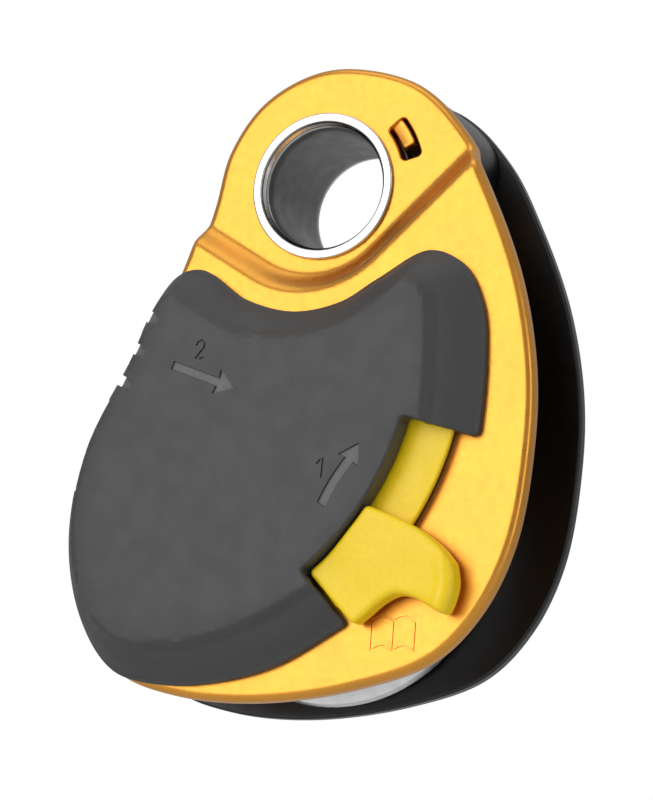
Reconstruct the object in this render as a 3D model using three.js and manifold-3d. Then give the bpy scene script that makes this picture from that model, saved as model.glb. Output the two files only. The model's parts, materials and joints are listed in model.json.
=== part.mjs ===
// Rope pulley with a swinging side plate, a sliding latch and a sealed ball bearing sheave.
// Millimetres, +Z up. The sheave turns about the Y axis, the cover side faces -Y, the fixed side
// plate faces +Y, and the carabiner eye is straight above the sheave. Pieces are drawn about a
// point on the sheave's axis, level with the middle of the eye. The finished group is then moved
// so that its origin is the centre of the axle's rear end face.

import * as THREE from 'three';
import { mergeVertices } from 'three/addons/utils/BufferGeometryUtils.js';
import Module from 'manifold-3d';

const wasm = await Module();
wasm.setup();

// ---------------------------------------------------------------- driving dimensions
const EYE_Z = 51.5;                 // axle centre to eye centre
const GAP = 0.3;                    // running gap between neighbouring pieces

const PLATE_T = 2.8;                // side plate sheet thickness
const HEAD_INNER_Y = 7.0;           // inner face of the front plate at the eye
const JOGGLE = 3.2;                 // step outwards from the head to the body of the front plate
const JOGGLE_WIDTH = 4.2;           // length of that step along the plate
const JOGGLE_R = 12.9;              // start of the step, measured from (JOGGLE_X, EYE_Z)
const JOGGLE_X = -1.25;
const BODY_INNER_Y = HEAD_INNER_Y + JOGGLE;
const BODY_OUTER_Y = BODY_INNER_Y + PLATE_T;
const REAR_INNER_Y = 8.5;           // the rear plate is flat
const REAR_OUTER_Y = REAR_INNER_Y + PLATE_T;

const BUSHING_BORE_R = 9.1;
const BUSHING_R = 10.3;
const BUSHING_RIM_R = 11.2;
const BUSHING_FRONT_Y = -10.5;
const BUSHING_REAR_Y = REAR_OUTER_Y + 0.7;

const TREAD_R = 19;                 // bottom of the rope groove
const FLANGE_R = 24.5;
const SHEAVE_HALF = 8.5;
const WHEEL_Y = (REAR_INNER_Y - BODY_INNER_Y) / 2;       // the wheel runs midway between the plates
const WHEEL_SPACE = (REAR_INNER_Y + BODY_INNER_Y) / 2;   // from there to either plate
const ROPE_GROOVE_R = 6.8;          // takes ropes up to 13 mm

const BEARING_R = 14;               // outside of the ball bearing
const BEARING_HALF = 4.5;
const BALL_PITCH_R = 10.4;
const BALL_R = 2.4;
const BALL_COUNT = 8;
const AXLE_R = 5;
const NECK_R = 4;                   // part of the axle that passes the moving plate
const AXLE_HEAD_R = 6.5;
const AXLE_HEAD_BACK_Y = -15.0;
const AXLE_HEAD_FRONT_Y = -17.4;
const AXLE_REAR_HEAD_T = 1.5;
const AXLE_REAR_Y = REAR_OUTER_Y + 0.1 + AXLE_REAR_HEAD_T;

const PIVOT = { x: -21, z: 24 };    // latch lever pivot, behind the cover
const PIVOT_PIN_R = 2.3;
const LEVER_BACK_Y = -13.25;
const LEVER_FRONT_Y = -14.2;
const STRIP_INNER_R = 40.4;         // latch button strip, measured from the lever pivot
const STRIP_OUTER_R = 47.6;
const STRIP_FRONT_Y = -15.4;
const BUTTON_FRONT_Y = -18.4;
const STRIP_TOP_DEG = -8.5;        // upper end of the strip, under the cover's arm
const BUTTON_TRAVEL_DEG = 17;
const NOTCH_TOP_DEG = -12.5;        // radial edges of the cover's opening for the button
const NOTCH_BOTTOM_DEG = -50.5;
const NOTCH_INNER_R = 40.8;         // inner wall of that opening, which overhangs the strip
const TAB_INNER_R = NOTCH_INNER_R + GAP;
const STRIP_BOTTOM_DEG = -50.1;

const COVER_BACK_Y = -BODY_OUTER_Y - 0.1;
const COVER_FRONT_Y = -19.5;
const COVER_WALL = 1.7;

const COVER_SCREW_HEAD_R = 2.8;
const COVER_SCREW_R = 1.3;
const COVER_POST_R = 3.2;
const SCREW_END_Y = -17;
const PIVOT_PIN_HEAD_R = 3.6;
const BUTTON_RIVET_R = 1;
const BUTTON_RIVET_PITCH_R = 44;    // from the lever pivot
const SPACER_RIVET_R = 1.6;

const STOP_INNER_R = 12.8;          // stop window beside the eye
const STOP_OUTER_R = 16;
const SWING_DEG = 100;

// ---------------------------------------------------------------- materials
function finish(color, roughness, metalness) {
  return new THREE.MeshStandardMaterial({ color, roughness, metalness });
}
const goldAnodised = finish(0xf2bd2c, 0.32, 0.9);
const blackAnodised = finish(0x1a1b1c, 0.38, 0.7);
const blackPlastic = finish(0x3f4042, 0.62, 0);
const yellowPlastic = finish(0xf5c518, 0.42, 0);
const steel = finish(0xc6c9cc, 0.25, 1);
const springSteel = finish(0x8d9194, 0.35, 1);
const aluminium = finish(0xc9ccce, 0.35, 0.95);
const sealRubber = finish(0x16171a, 0.7, 0);
const brassCage = finish(0xb99648, 0.4, 0.9);
const acetal = finish(0xe4e2da, 0.5, 0);

// ---------------------------------------------------------------- solids
const rad = THREE.MathUtils.degToRad;

function toSolid(geometry) {
  const bare = geometry.index ? geometry.toNonIndexed() : geometry.clone();
  bare.deleteAttribute('normal');
  bare.deleteAttribute('uv');
  const merged = mergeVertices(bare, 1e-5);
  const position = merged.attributes.position;
  const index = Uint32Array.from(merged.index.array);
  const corners = [new THREE.Vector3(), new THREE.Vector3(), new THREE.Vector3()];
  let volume = 0;
  for (let i = 0; i < index.length; i += 3) {
    corners.forEach((corner, k) => corner.fromBufferAttribute(position, index[i + k]));
    volume += corners[0].dot(corners[1].clone().cross(corners[2])) / 6;
  }
  if (volume < 0) {
    for (let i = 0; i < index.length; i += 3) {
      [index[i], index[i + 1]] = [index[i + 1], index[i]];
    }
  }
  const vertProperties = Float32Array.from(position.array);
  return new wasm.Manifold(new wasm.Mesh({ numProp: 3, vertProperties, triVerts: index }));
}

function toGeometry(solid) {
  const mesh = solid.getMesh();
  const geometry = new THREE.BufferGeometry();
  geometry.setAttribute('position', new THREE.BufferAttribute(Float32Array.from(mesh.vertProperties), 3));
  geometry.setIndex(new THREE.BufferAttribute(Uint32Array.from(mesh.triVerts), 1));
  geometry.computeVertexNormals();
  return geometry;
}

// A shape drawn in the X-Z plane, extruded from backY towards the front to frontY.
function slab(shape, backY, frontY, curveSegments = 24, bevel = {}) {
  const options = { depth: backY - frontY, curveSegments, bevelEnabled: false, ...bevel };
  const geometry = new THREE.ExtrudeGeometry(shape, options);
  geometry.rotateX(Math.PI / 2);
  geometry.translate(0, backY, 0);
  return toSolid(geometry);
}

// A turned solid about the Y direction through (x, z). The profile lists [radius, y] corners.
function turned(profile, segments = 40, x = 0, z = 0) {
  const points = profile.map(([radius, y]) => new THREE.Vector2(radius, y));
  points.push(points[0].clone());
  const geometry = new THREE.LatheGeometry(points, segments);
  geometry.translate(x, 0, z);
  return toSolid(geometry);
}

function ring(innerR, outerR, backY, frontY, segments = 40, x = 0, z = 0) {
  return turned([[innerR, frontY], [outerR, frontY], [outerR, backY], [innerR, backY]], segments, x, z);
}

function disc(radius, backY, frontY, segments = 32, x = 0, z = 0) {
  const geometry = new THREE.CylinderGeometry(radius, radius, backY - frontY, segments);
  geometry.translate(x, (backY + frontY) / 2, z);
  return toSolid(geometry);
}

// Part of a ring about (x, z), between two angles counted from +X towards +Z.
function sectorShape(innerR, outerR, startDeg, endDeg, x, z) {
  const shape = new THREE.Shape();
  shape.absarc(x, z, outerR, rad(startDeg), rad(endDeg), false);
  shape.absarc(x, z, innerR, rad(endDeg), rad(startDeg), true);
  shape.closePath();
  return shape;
}

function curveLoop(corners, divisions) {
  const points = corners.map(([x, z]) => new THREE.Vector3(x, z, 0));
  const curve = new THREE.CatmullRomCurve3(points, true, 'centripetal');
  return curve.getPoints(divisions).slice(0, -1).map((p) => new THREE.Vector2(p.x, p.y));
}

function closedCurveShape(corners, divisions) {
  return new THREE.Shape(curveLoop(corners, divisions));
}

function polar(centre, radius, degrees) {
  return [centre.x + radius * Math.cos(rad(degrees)), centre.z + radius * Math.sin(rad(degrees))];
}

function named(name, solid, material) {
  const mesh = new THREE.Mesh(toGeometry(solid), material);
  mesh.name = name;
  return mesh;
}

// ---------------------------------------------------------------- side plates
const EYE = { x: 0, z: EYE_Z };

// Both side plates share this outline: a round head, a waist on the left and a wide rounded body.
function plateOutline() {
  return closedCurveShape([
    [2.3, 69.8], [13.8, 67], [22, 59.3], [27.4, 50], [33, 37], [36, 24], [36.5, 12.5],
    [34.8, -2], [30.5, -12], [23.8, -19.2], [12.2, -23.6], [-3.5, -26.1], [-16.9, -25.4], [-25.9, -22.4],
    [-32, -15], [-35.2, -3], [-33.6, 11], [-27.5, 24.5], [-21.2, 37.5], [-17.9, 48.5],
    [-16.1, 57], [-11.5, 64.3], [-4.7, 68.6],
  ], 92);
}

// How far outwards a point of the front plate stands, from 0 on the head to JOGGLE on the body.
// The step runs round the eye as an arc and leaves it along two tangents.
const JOGGLE_RIGHT_DEG = 315;
const JOGGLE_LEFT_DEG = 240;

function joggleAt(x, z) {
  const u = x - JOGGLE_X;
  const v = z - EYE.z;
  const bearing = (THREE.MathUtils.radToDeg(Math.atan2(v, u)) + 360) % 360;
  const onArc = bearing > JOGGLE_LEFT_DEG && bearing < JOGGLE_RIGHT_DEG;
  const along = (degrees) => u * Math.cos(rad(degrees)) + v * Math.sin(rad(degrees));
  const reach = onArc ? Math.hypot(u, v) : Math.max(along(JOGGLE_RIGHT_DEG), along(JOGGLE_LEFT_DEG));
  return JOGGLE * THREE.MathUtils.smoothstep(reach - JOGGLE_R, 0, JOGGLE_WIDTH);
}

// Grid line positions: evenly spaced over the step, with one wide cell to the block's edge at each end.
function gridLine(share, cells, low, fineLow, fineHigh, high) {
  const line = Math.round(share * cells);
  if (line === 0) return low;
  if (line === cells) return high;
  return fineLow + ((line - 1) / (cells - 2)) * (fineHigh - fineLow);
}

function joggledPlate() {
  const cellsX = 24;
  const cellsZ = 14;
  const block = new THREE.BoxGeometry(1, PLATE_T, 1, cellsX, 1, cellsZ);
  const position = block.attributes.position;
  for (let i = 0; i < position.count; i += 1) {
    const x = gridLine(position.getX(i) + 0.5, cellsX, -40, -22, 30, 40);
    const z = gridLine(position.getZ(i) + 0.5, cellsZ, -30, 33, 63, 74);
    const y = position.getY(i) - (HEAD_INNER_Y + PLATE_T / 2 + joggleAt(x, z));
    position.setXYZ(i, x, y, z);
  }
  return toSolid(block).intersect(slab(plateOutline(), 0, -BODY_OUTER_Y - 1));
}

function eyeHole() {
  return disc(BUSHING_R + GAP, REAR_OUTER_Y + 1, -BODY_OUTER_Y, 36, EYE.x, EYE.z);
}

// Path that the axle leaves along when the front side swings, as a band about the eye.
const AXLE_EXIT_DEG = 225;

function axleExit(halfWidth, backY, frontY) {
  const band = sectorShape(EYE_Z - halfWidth, EYE_Z + halfWidth, AXLE_EXIT_DEG, 270, EYE.x, EYE.z);
  const start = disc(halfWidth, backY, frontY, 32);
  return slab(band, backY, frontY, 12).add(start);
}

const COVER_SCREWS = [[-14.5, 31.2], [16.2, 32.8], [-28.5, -8.5], [-9, -15]];
const STOP_WINDOW_DEG = [16.5, 41];
const STOP_TAB_DEG = [25, 43];

function frontSidePlate() {
  const window = slab(
    sectorShape(STOP_INNER_R, STOP_OUTER_R, ...STOP_WINDOW_DEG, EYE.x, EYE.z), -5, -BODY_OUTER_Y, 8);
  const tab = slab(
    sectorShape(STOP_INNER_R + 0.5, STOP_OUTER_R - 0.5, ...STOP_TAB_DEG, EYE.x, EYE.z), -4.2, -8.8, 8);
  let plate = joggledPlate().subtract(eyeHole()).subtract(window).add(tab);
  plate = plate.subtract(axleExit(NECK_R + 0.8, 0, -BODY_OUTER_Y - 1));
  for (const [x, z] of COVER_SCREWS) {
    plate = plate.subtract(coverScrewSolid(x, z, GAP));
  }
  return plate.subtract(disc(PIVOT_PIN_R + GAP, -9, -BODY_OUTER_Y - 1, 24, PIVOT.x, PIVOT.z))
    .subtract(disc(PIVOT_PIN_HEAD_R + GAP, -9, -BODY_INNER_Y - 1.2, 24, PIVOT.x, PIVOT.z));
}

const SPACER_RIVETS = [[-13.8, 49.3], [16.6, 55]];
const SPACER_RIVET_HEAD_R = 2.4;
const SPACER_BACK_Y = REAR_INNER_Y - 0.1;
const SPACER_FRONT_Y = -6.15;

function rearSidePlate() {
  let plate = slab(plateOutline(), REAR_OUTER_Y, REAR_INNER_Y).subtract(eyeHole())
    .subtract(disc(AXLE_R + GAP, REAR_OUTER_Y + 1, REAR_INNER_Y - 1));
  for (const [x, z] of SPACER_RIVETS) {
    plate = plate.subtract(disc(SPACER_RIVET_R + GAP, REAR_OUTER_Y + 1, REAR_INNER_Y - 1, 20, x, z));
  }
  return plate;
}

// ---------------------------------------------------------------- eye
function headSpacer() {
  const outline = closedCurveShape([
    [2.3, 69.5], [13.6, 66.7], [19.2, 62], [20.7, 58.6], [20.3, 54.5], [18.7, 48], [13.5, 40.8],
    [5, 37], [-4, 37], [-11.5, 39.8], [-16.6, 45], [-17.2, 50.5], [-15.8, 56.9], [-11.3, 64], [-4.6, 68.3],
  ], 60);
  const grooveDeg = [STOP_TAB_DEG[0] - 4, STOP_TAB_DEG[1] + SWING_DEG + 2];
  const stopGroove = sectorShape(STOP_INNER_R + 0.1, STOP_OUTER_R - 0.1, ...grooveDeg, EYE.x, EYE.z);
  let spacer = slab(outline, SPACER_BACK_Y, SPACER_FRONT_Y)
    .subtract(eyeHole())
    .subtract(slab(stopGroove, -3.8, -8, 14));
  for (const [x, z] of SPACER_RIVETS) {
    spacer = spacer.subtract(disc(SPACER_RIVET_R + GAP, SPACER_BACK_Y + 1, -8, 20, x, z))
      .subtract(disc(SPACER_RIVET_HEAD_R + GAP, SPACER_FRONT_Y + 1.6, -8, 20, x, z));
  }
  return spacer;
}

function eyeBushing() {
  const rim = 0.6;
  const end = [[BUSHING_BORE_R, 0.8], [BUSHING_BORE_R + 0.5, 0], [BUSHING_RIM_R - 0.3, 0],
    [BUSHING_RIM_R, 0.3], [BUSHING_RIM_R, rim], [BUSHING_R, rim]];
  const front = end.map(([r, depth]) => [r, BUSHING_FRONT_Y + depth]);
  const rear = end.map(([r, depth]) => [r, BUSHING_REAR_Y - depth]).reverse();
  return turned([...front, ...rear], 36, EYE.x, EYE.z);
}

function pivotWasher() {
  return ring(BUSHING_R + 0.35, STOP_INNER_R, -6.3, -6.85, 36, EYE.x, EYE.z);
}

function spacerRivet(x, z) {
  return turned([
    [0, SPACER_FRONT_Y + 0.1], [SPACER_RIVET_HEAD_R, SPACER_FRONT_Y + 0.1],
    [SPACER_RIVET_HEAD_R, SPACER_FRONT_Y + 1.3], [SPACER_RIVET_R, SPACER_FRONT_Y + 1.3],
    [SPACER_RIVET_R, REAR_OUTER_Y + 0.1],
    [SPACER_RIVET_HEAD_R, REAR_OUTER_Y + 0.1], [SPACER_RIVET_HEAD_R - 0.5, REAR_OUTER_Y + 0.9],
    [0, REAR_OUTER_Y + 1.1],
  ], 14, x, z);
}

// ---------------------------------------------------------------- axle and bearing
function axle() {
  const rearHeadY = AXLE_REAR_Y - AXLE_REAR_HEAD_T;
  return turned([
    [0, AXLE_HEAD_FRONT_Y], [AXLE_HEAD_R - 0.8, AXLE_HEAD_FRONT_Y], [AXLE_HEAD_R, AXLE_HEAD_FRONT_Y + 0.8],
    [AXLE_HEAD_R, AXLE_HEAD_BACK_Y], [NECK_R, AXLE_HEAD_BACK_Y], [NECK_R, -BODY_INNER_Y + 0.4],
    [AXLE_R, -BODY_INNER_Y + 0.4], [AXLE_R, rearHeadY], [8, rearHeadY], [7.6, rearHeadY + 0.9],
    [6.8, AXLE_REAR_Y], [0, AXLE_REAR_Y],
  ], 28);
}

function innerRing() {
  const bore = AXLE_R + 0.2;
  const shoulder = 8.7;
  const raceway = raceArc(BALL_PITCH_R, BALL_R + GAP, shoulder, -1);
  return turned([[bore, -BEARING_HALF], [shoulder, -BEARING_HALF], ...raceway,
    [shoulder, BEARING_HALF], [bore, BEARING_HALF]], 32);
}

function outerRing() {
  const shoulder = 12.1;
  const raceway = raceArc(BALL_PITCH_R, BALL_R + GAP, shoulder, 1);
  return turned([[BEARING_R, -BEARING_HALF], [shoulder, -BEARING_HALF], ...raceway,
    [shoulder, BEARING_HALF], [BEARING_R, BEARING_HALF]], 32);
}

// Groove corners of a raceway, cut by a circle about the ball pitch. side is -1 inside, +1 outside.
function raceArc(pitchR, grooveR, shoulderR, side) {
  const half = Math.acos(Math.abs(shoulderR - pitchR) / grooveR);
  const steps = 4;
  return Array.from({ length: steps + 1 }, (_, i) => {
    const angle = -half + (2 * half * i) / steps;
    return [pitchR + side * grooveR * Math.cos(angle), grooveR * Math.sin(angle)];
  });
}

function bearingSeal(side) {
  return ring(8.95, 11.9, Math.max(side * 3.5, side * 4.2), Math.min(side * 3.5, side * 4.2), 32);
}

function bearingCage() {
  let cage = ring(9.8, 11.0, 3.1, -3.1, 32);
  for (let i = 0; i < BALL_COUNT; i += 1) {
    const pocket = new THREE.CylinderGeometry(BALL_R + GAP, BALL_R + GAP, 6, 12);
    pocket.rotateZ(Math.PI / 2);
    pocket.translate(BALL_PITCH_R, 0, 0);
    pocket.rotateY((2 * Math.PI * i) / BALL_COUNT);
    cage = cage.subtract(toSolid(pocket));
  }
  return cage;
}

function ball(i) {
  const geometry = new THREE.SphereGeometry(BALL_R, 12, 7);
  geometry.translate(BALL_PITCH_R, 0, 0);
  geometry.rotateY((2 * Math.PI * i) / BALL_COUNT);
  return toSolid(geometry);
}

function axleSpacer(side) {
  const near = side * (BEARING_HALF + 0.2);
  const far = side * (WHEEL_SPACE - 0.3);
  return ring(AXLE_R + 0.2, 8, Math.max(near, far), Math.min(near, far), 24);
}

// ---------------------------------------------------------------- sheave
function sheave() {
  const bore = BEARING_R + 0.25;
  const webHalf = 6;
  const webR = 17;
  const flatR = 21.5;
  const grooveCentreR = TREAD_R + ROPE_GROOVE_R;
  const half = Math.acos((grooveCentreR - FLANGE_R + 0.4) / ROPE_GROOVE_R);
  const groove = Array.from({ length: 8 }, (_, i) => {
    const angle = -half + (2 * half * i) / 7;
    return [grooveCentreR - ROPE_GROOVE_R * Math.cos(angle), ROPE_GROOVE_R * Math.sin(angle)];
  });
  const shoulder = BEARING_HALF + 0.2;
  const clipGrooveR = bore + 0.9;
  return turned([
    [bore, -webHalf], [webR, -webHalf], [flatR, -SHEAVE_HALF], [FLANGE_R - 0.6, -SHEAVE_HALF],
    [FLANGE_R, -SHEAVE_HALF + 0.7], ...groove, [FLANGE_R, SHEAVE_HALF - 0.7],
    [FLANGE_R - 0.6, SHEAVE_HALF], [flatR, SHEAVE_HALF], [webR, webHalf], [bore - 1, webHalf],
    [bore - 1, shoulder], [bore, shoulder], [bore, -shoulder], [clipGrooveR, -shoulder],
    [clipGrooveR, -shoulder - 1], [bore, -shoulder - 1],
  ], 40);
}

function bearingCirclip() {
  const open = sectorShape(12.9, 14.85, 285, 615, 0, 0);
  return slab(open, -BEARING_HALF - 0.35, -BEARING_HALF - 1.05, 20);
}

// ---------------------------------------------------------------- cover
// Each pair is a point of the cover's foot, on the plate, and the point of the face's edge above it.
const COVER_RIM = [
  [[19.5, 40.6], [17.6, 35.6]], [[25, 38.4], [20.2, 34.1]], [[28.3, 32.5], [21.4, 31]],
  [[29.3, 25], [21.9, 26]], [[29.1, 14], [21.9, 15.5]], [[27.5, 2], [20.5, 4]],
  [[21.5, -8], [15.5, -3.5]], [[10.1, -14.9], [6.5, -9.8]], [[0, -20.9], [-1.8, -14.6]],
  [[-8.4, -23.4], [-9.1, -17.5]], [[-17, -24.2], [-16.2, -18.7]], [[-25.8, -22.4], [-23.9, -18.2]],
  [[-31.8, -15], [-29.4, -13]], [[-35, -3], [-32.3, -2.5]], [[-33.4, 11], [-30.8, 10]],
  [[-27.2, 24.5], [-24.9, 23]], [[-24.4, 31.8], [-22.4, 29.6]], [[-20.4, 37.2], [-19.9, 33.3]],
  [[-16.6, 38], [-15.6, 31.3]], [[-9.3, 33.5], [-9.1, 28]], [[-1.4, 31.6], [-0.9, 26.9]],
  [[6, 33], [8.1, 29.2]], [[11.6, 36.4], [14.2, 33]],
];

// A loop that runs clockwise, moved inwards by a distance.
function insetLoop(loop, distance) {
  return loop.map((point, i) => {
    const before = loop[(i + loop.length - 1) % loop.length];
    const after = loop[(i + 1) % loop.length];
    const along = after.clone().sub(before).normalize();
    return new THREE.Vector2(point.x + along.y * distance, point.y - along.x * distance);
  });
}

// A closed solid through loops of equal length, each at its own y.
function loft(levels) {
  const count = levels[0].loop.length;
  const positions = levels.flatMap(({ loop, y }) => loop.flatMap((p) => [p.x, y, p.y]));
  const index = [];
  for (let level = 0; level + 1 < levels.length; level += 1) {
    for (let i = 0; i < count; i += 1) {
      const next = (i + 1) % count;
      const low = level * count;
      const high = low + count;
      index.push(low + i, low + next, high + i, low + next, high + next, high + i);
    }
  }
  const cap = (level, reversed) => {
    const { loop } = levels[level];
    const clockwise = THREE.ShapeUtils.isClockWise(loop);
    for (const corners of THREE.ShapeUtils.triangulateShape(loop, [])) {
      const sameWay = THREE.ShapeUtils.isClockWise(corners.map((i) => loop[i])) === clockwise;
      const [a, b, c] = sameWay === reversed ? [...corners].reverse() : corners;
      index.push(level * count + a, level * count + b, level * count + c);
    }
  };
  cap(0, true);
  cap(levels.length - 1, false);
  const geometry = new THREE.BufferGeometry();
  geometry.setAttribute('position', new THREE.Float32BufferAttribute(positions, 3));
  geometry.setIndex(index);
  return toSolid(geometry);
}

// Dome of the cover, set back by an inset all round and ending at frontY.
function coverDome(inset, frontY) {
  const divisions = 69;
  const foot = insetLoop(curveLoop(COVER_RIM.map(([base]) => base), divisions), inset);
  const face = insetLoop(curveLoop(COVER_RIM.map(([, top]) => top), divisions), inset * 0.6);
  const wallTop = COVER_BACK_Y - 1.3;
  const between = foot.map((point, i) => point.clone().lerp(face[i], 0.42));
  return loft([
    { loop: foot, y: inset > 0 ? COVER_BACK_Y + 1 : COVER_BACK_Y },
    { loop: foot, y: wallTop },
    { loop: between, y: (wallTop + frontY) / 2 - 0.3 },
    { loop: face, y: frontY },
  ]);
}

function notch(grow) {
  const degreesPerMm = 180 / (Math.PI * 44);
  const span = [NOTCH_BOTTOM_DEG - grow * degreesPerMm, NOTCH_TOP_DEG + grow * degreesPerMm];
  return slab(sectorShape(NOTCH_INNER_R - grow, 90, ...span, PIVOT.x, PIVOT.z), -5, -30, 16);
}

function leverSweep() {
  const stripEndDeg = STRIP_TOP_DEG + BUTTON_TRAVEL_DEG + 3;
  const strip = sectorShape(STRIP_INNER_R - 0.6, STRIP_OUTER_R + 0.5, -54, stripEndDeg, PIVOT.x, PIVOT.z);
  const arm = sectorShape(8, STRIP_OUTER_R, -51, 8, PIVOT.x, PIVOT.z);
  return slab(strip, -10, STRIP_FRONT_Y - 0.3, 16).add(slab(arm, -10, LEVER_FRONT_Y - 0.3, 16));
}

const FINGER_NOTCHES = [[-20.9, 29.2], [-22.6, 24.3], [-24.4, 19.4]];   // their inner ends
const FINGER_NOTCH = { length: 6, width: 1.74, depth: 1.3, turnDeg: 24 };

function fingerNotch(x, z) {
  const { length, width, depth, turnDeg } = FINGER_NOTCH;
  const cut = new THREE.BoxGeometry(length, 2 * depth, width);
  cut.translate(-length / 2, 0, 0);
  cut.rotateY(rad(turnDeg));
  cut.translate(x, COVER_FRONT_Y, z);
  return toSolid(cut);
}

function frontCover() {
  const innerFront = COVER_FRONT_Y + COVER_WALL;
  const hollow = coverDome(COVER_WALL, innerFront).subtract(notch(COVER_WALL));
  let cover = coverDome(0, COVER_FRONT_Y).subtract(notch(0)).subtract(hollow);
  const insideDome = coverDome(0.3, COVER_FRONT_Y);
  for (const [x, z] of COVER_SCREWS) {
    cover = cover.add(disc(COVER_POST_R, COVER_BACK_Y, innerFront - 0.4, 20, x, z).intersect(insideDome));
  }
  for (const [x, z] of COVER_SCREWS) {
    cover = cover.subtract(coverScrewSolid(x, z, 0.2));
  }
  for (const [x, z] of FINGER_NOTCHES) {
    cover = cover.subtract(fingerNotch(x, z));
  }
  return cover.subtract(leverSweep()).subtract(axleExit(AXLE_HEAD_R + 0.5, -8, AXLE_HEAD_FRONT_Y - 0.3));
}

// Countersunk screw driven from inside the front plate into a post of the cover.
function coverScrewSolid(x, z, grow) {
  const headY = -BODY_INNER_Y - 0.1;
  const headR = COVER_SCREW_HEAD_R + grow;
  const shankR = COVER_SCREW_R + grow;
  return turned([
    [0, headY + grow], [headR, headY + grow], [headR, headY - 0.3], [shankR, headY - 1.8],
    [shankR, SCREW_END_Y + 0.6 - grow], [0, SCREW_END_Y - grow],
  ], 16, x, z);
}

function coverScrew(x, z) {
  const cross = new THREE.BoxGeometry(3, 1.4, 0.6);
  cross.translate(x, -BODY_INNER_Y - 0.1, z);
  const other = new THREE.BoxGeometry(0.6, 1.4, 3);
  other.translate(x, -BODY_INNER_Y - 0.1, z);
  return coverScrewSolid(x, z, 0).subtract(toSolid(cross).add(toSolid(other)));
}

// ---------------------------------------------------------------- latch
const BUTTON_RIVET_DEG = [-45, -36];
const LEVER_HUB_R = 3.9;
const CARRIER_OVERLAP_R = 42.5;     // the arm ends here, inside the piece that carries the strip
const FINGER_TIP = [[-8.6, 5.6], [-3.4, 5.6]];
const RIVET_HOLE_END_Y = -16.6;
const RIVET_END_Y = -16.2;
const PIVOT_PIN_END_Y = -17.4;

// Blind towards the front: it ends inside the button.
function buttonRivetHole(degrees) {
  const centre = polar(PIVOT, BUTTON_RIVET_PITCH_R, degrees);
  return disc(BUTTON_RIVET_R + 0.25, -12, RIVET_HOLE_END_Y, 16, ...centre);
}

// A fan from the pivot to the button's strip, with a finger that reaches down beside the axle's neck.
function latchLever() {
  const hub = disc(LEVER_HUB_R, LEVER_BACK_Y, LEVER_FRONT_Y, 32, PIVOT.x, PIVOT.z);
  const hubEdgeR = LEVER_HUB_R - 0.2;
  const arm = new THREE.Shape();
  arm.moveTo(...polar(PIVOT, hubEdgeR, 50));
  arm.lineTo(...polar(PIVOT, CARRIER_OVERLAP_R, -18));
  arm.lineTo(...polar(PIVOT, CARRIER_OVERLAP_R, -30));
  arm.lineTo(...polar(PIVOT, 21, -36));
  arm.lineTo(...FINGER_TIP[1]);
  arm.lineTo(...FINGER_TIP[0]);
  arm.lineTo(...polar(PIVOT, 14, -42));
  arm.lineTo(...polar(PIVOT, hubEdgeR, -100));
  arm.closePath();
  const carrier = sectorShape(STRIP_INNER_R + 0.2, STRIP_OUTER_R - 0.3, -49.5, -9, PIVOT.x, PIVOT.z);
  let lever = slab(arm, LEVER_BACK_Y, LEVER_FRONT_Y)
    .add(slab(carrier, LEVER_BACK_Y, LEVER_FRONT_Y, 12)).add(hub);
  lever = lever.subtract(disc(PIVOT_PIN_R + GAP, -12, -16, 24, PIVOT.x, PIVOT.z));
  for (const degrees of BUTTON_RIVET_DEG) {
    lever = lever.subtract(buttonRivetHole(degrees));
  }
  return lever;
}

// The strip that fills the slot beside the cover, with the raised thumb tab at its lower end.
function latchButton() {
  const back = LEVER_FRONT_Y - 0.1;
  const strip = slab(
    sectorShape(STRIP_INNER_R, STRIP_OUTER_R, STRIP_BOTTOM_DEG, STRIP_TOP_DEG, PIVOT.x, PIVOT.z),
    back, STRIP_FRONT_Y, 12);
  const tab = closedPolarShape([
    [STRIP_INNER_R, -31.4], [49, -30.3], [54.7, -30.7], [57.2, -31.6], [58.9, -33.5], [60.8, -38],
    [55.5, -38.9], [53.1, -40.4], [52, -43], [51.7, -49], [50.2, STRIP_BOTTOM_DEG],
    [STRIP_INNER_R, STRIP_BOTTOM_DEG],
  ]);
  const besideCover = slab(sectorShape(0, TAB_INNER_R, -60, 0, PIVOT.x, PIVOT.z), STRIP_FRONT_Y, -30, 20);
  let button = strip.add(slab(tab, back, BUTTON_FRONT_Y).subtract(besideCover))
    .subtract(slab(sectorShape(0, STRIP_INNER_R, -60, 0, PIVOT.x, PIVOT.z), -5, -30, 20));
  for (const degrees of BUTTON_RIVET_DEG) {
    button = button.subtract(buttonRivetHole(degrees));
  }
  return button;
}

function closedPolarShape(corners) {
  return new THREE.Shape(corners.map(([r, degrees]) => new THREE.Vector2(...polar(PIVOT, r, degrees))));
}

function buttonRivet(degrees) {
  const [x, z] = polar(PIVOT, BUTTON_RIVET_PITCH_R, degrees);
  const backY = LEVER_BACK_Y - 0.05;
  return turned([
    [0, backY], [BUTTON_RIVET_R, backY], [BUTTON_RIVET_R, RIVET_END_Y], [0, RIVET_END_Y],
  ], 16, x, z);
}

function latchPivotPin() {
  const headY = -BODY_INNER_Y - 0.1;
  return turned([
    [0, headY], [PIVOT_PIN_HEAD_R, headY], [PIVOT_PIN_HEAD_R, headY - 0.9], [PIVOT_PIN_R, headY - 0.9],
    [PIVOT_PIN_R, PIVOT_PIN_END_Y + 0.4], [0, PIVOT_PIN_END_Y],
  ], 24, PIVOT.x, PIVOT.z);
}

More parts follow.
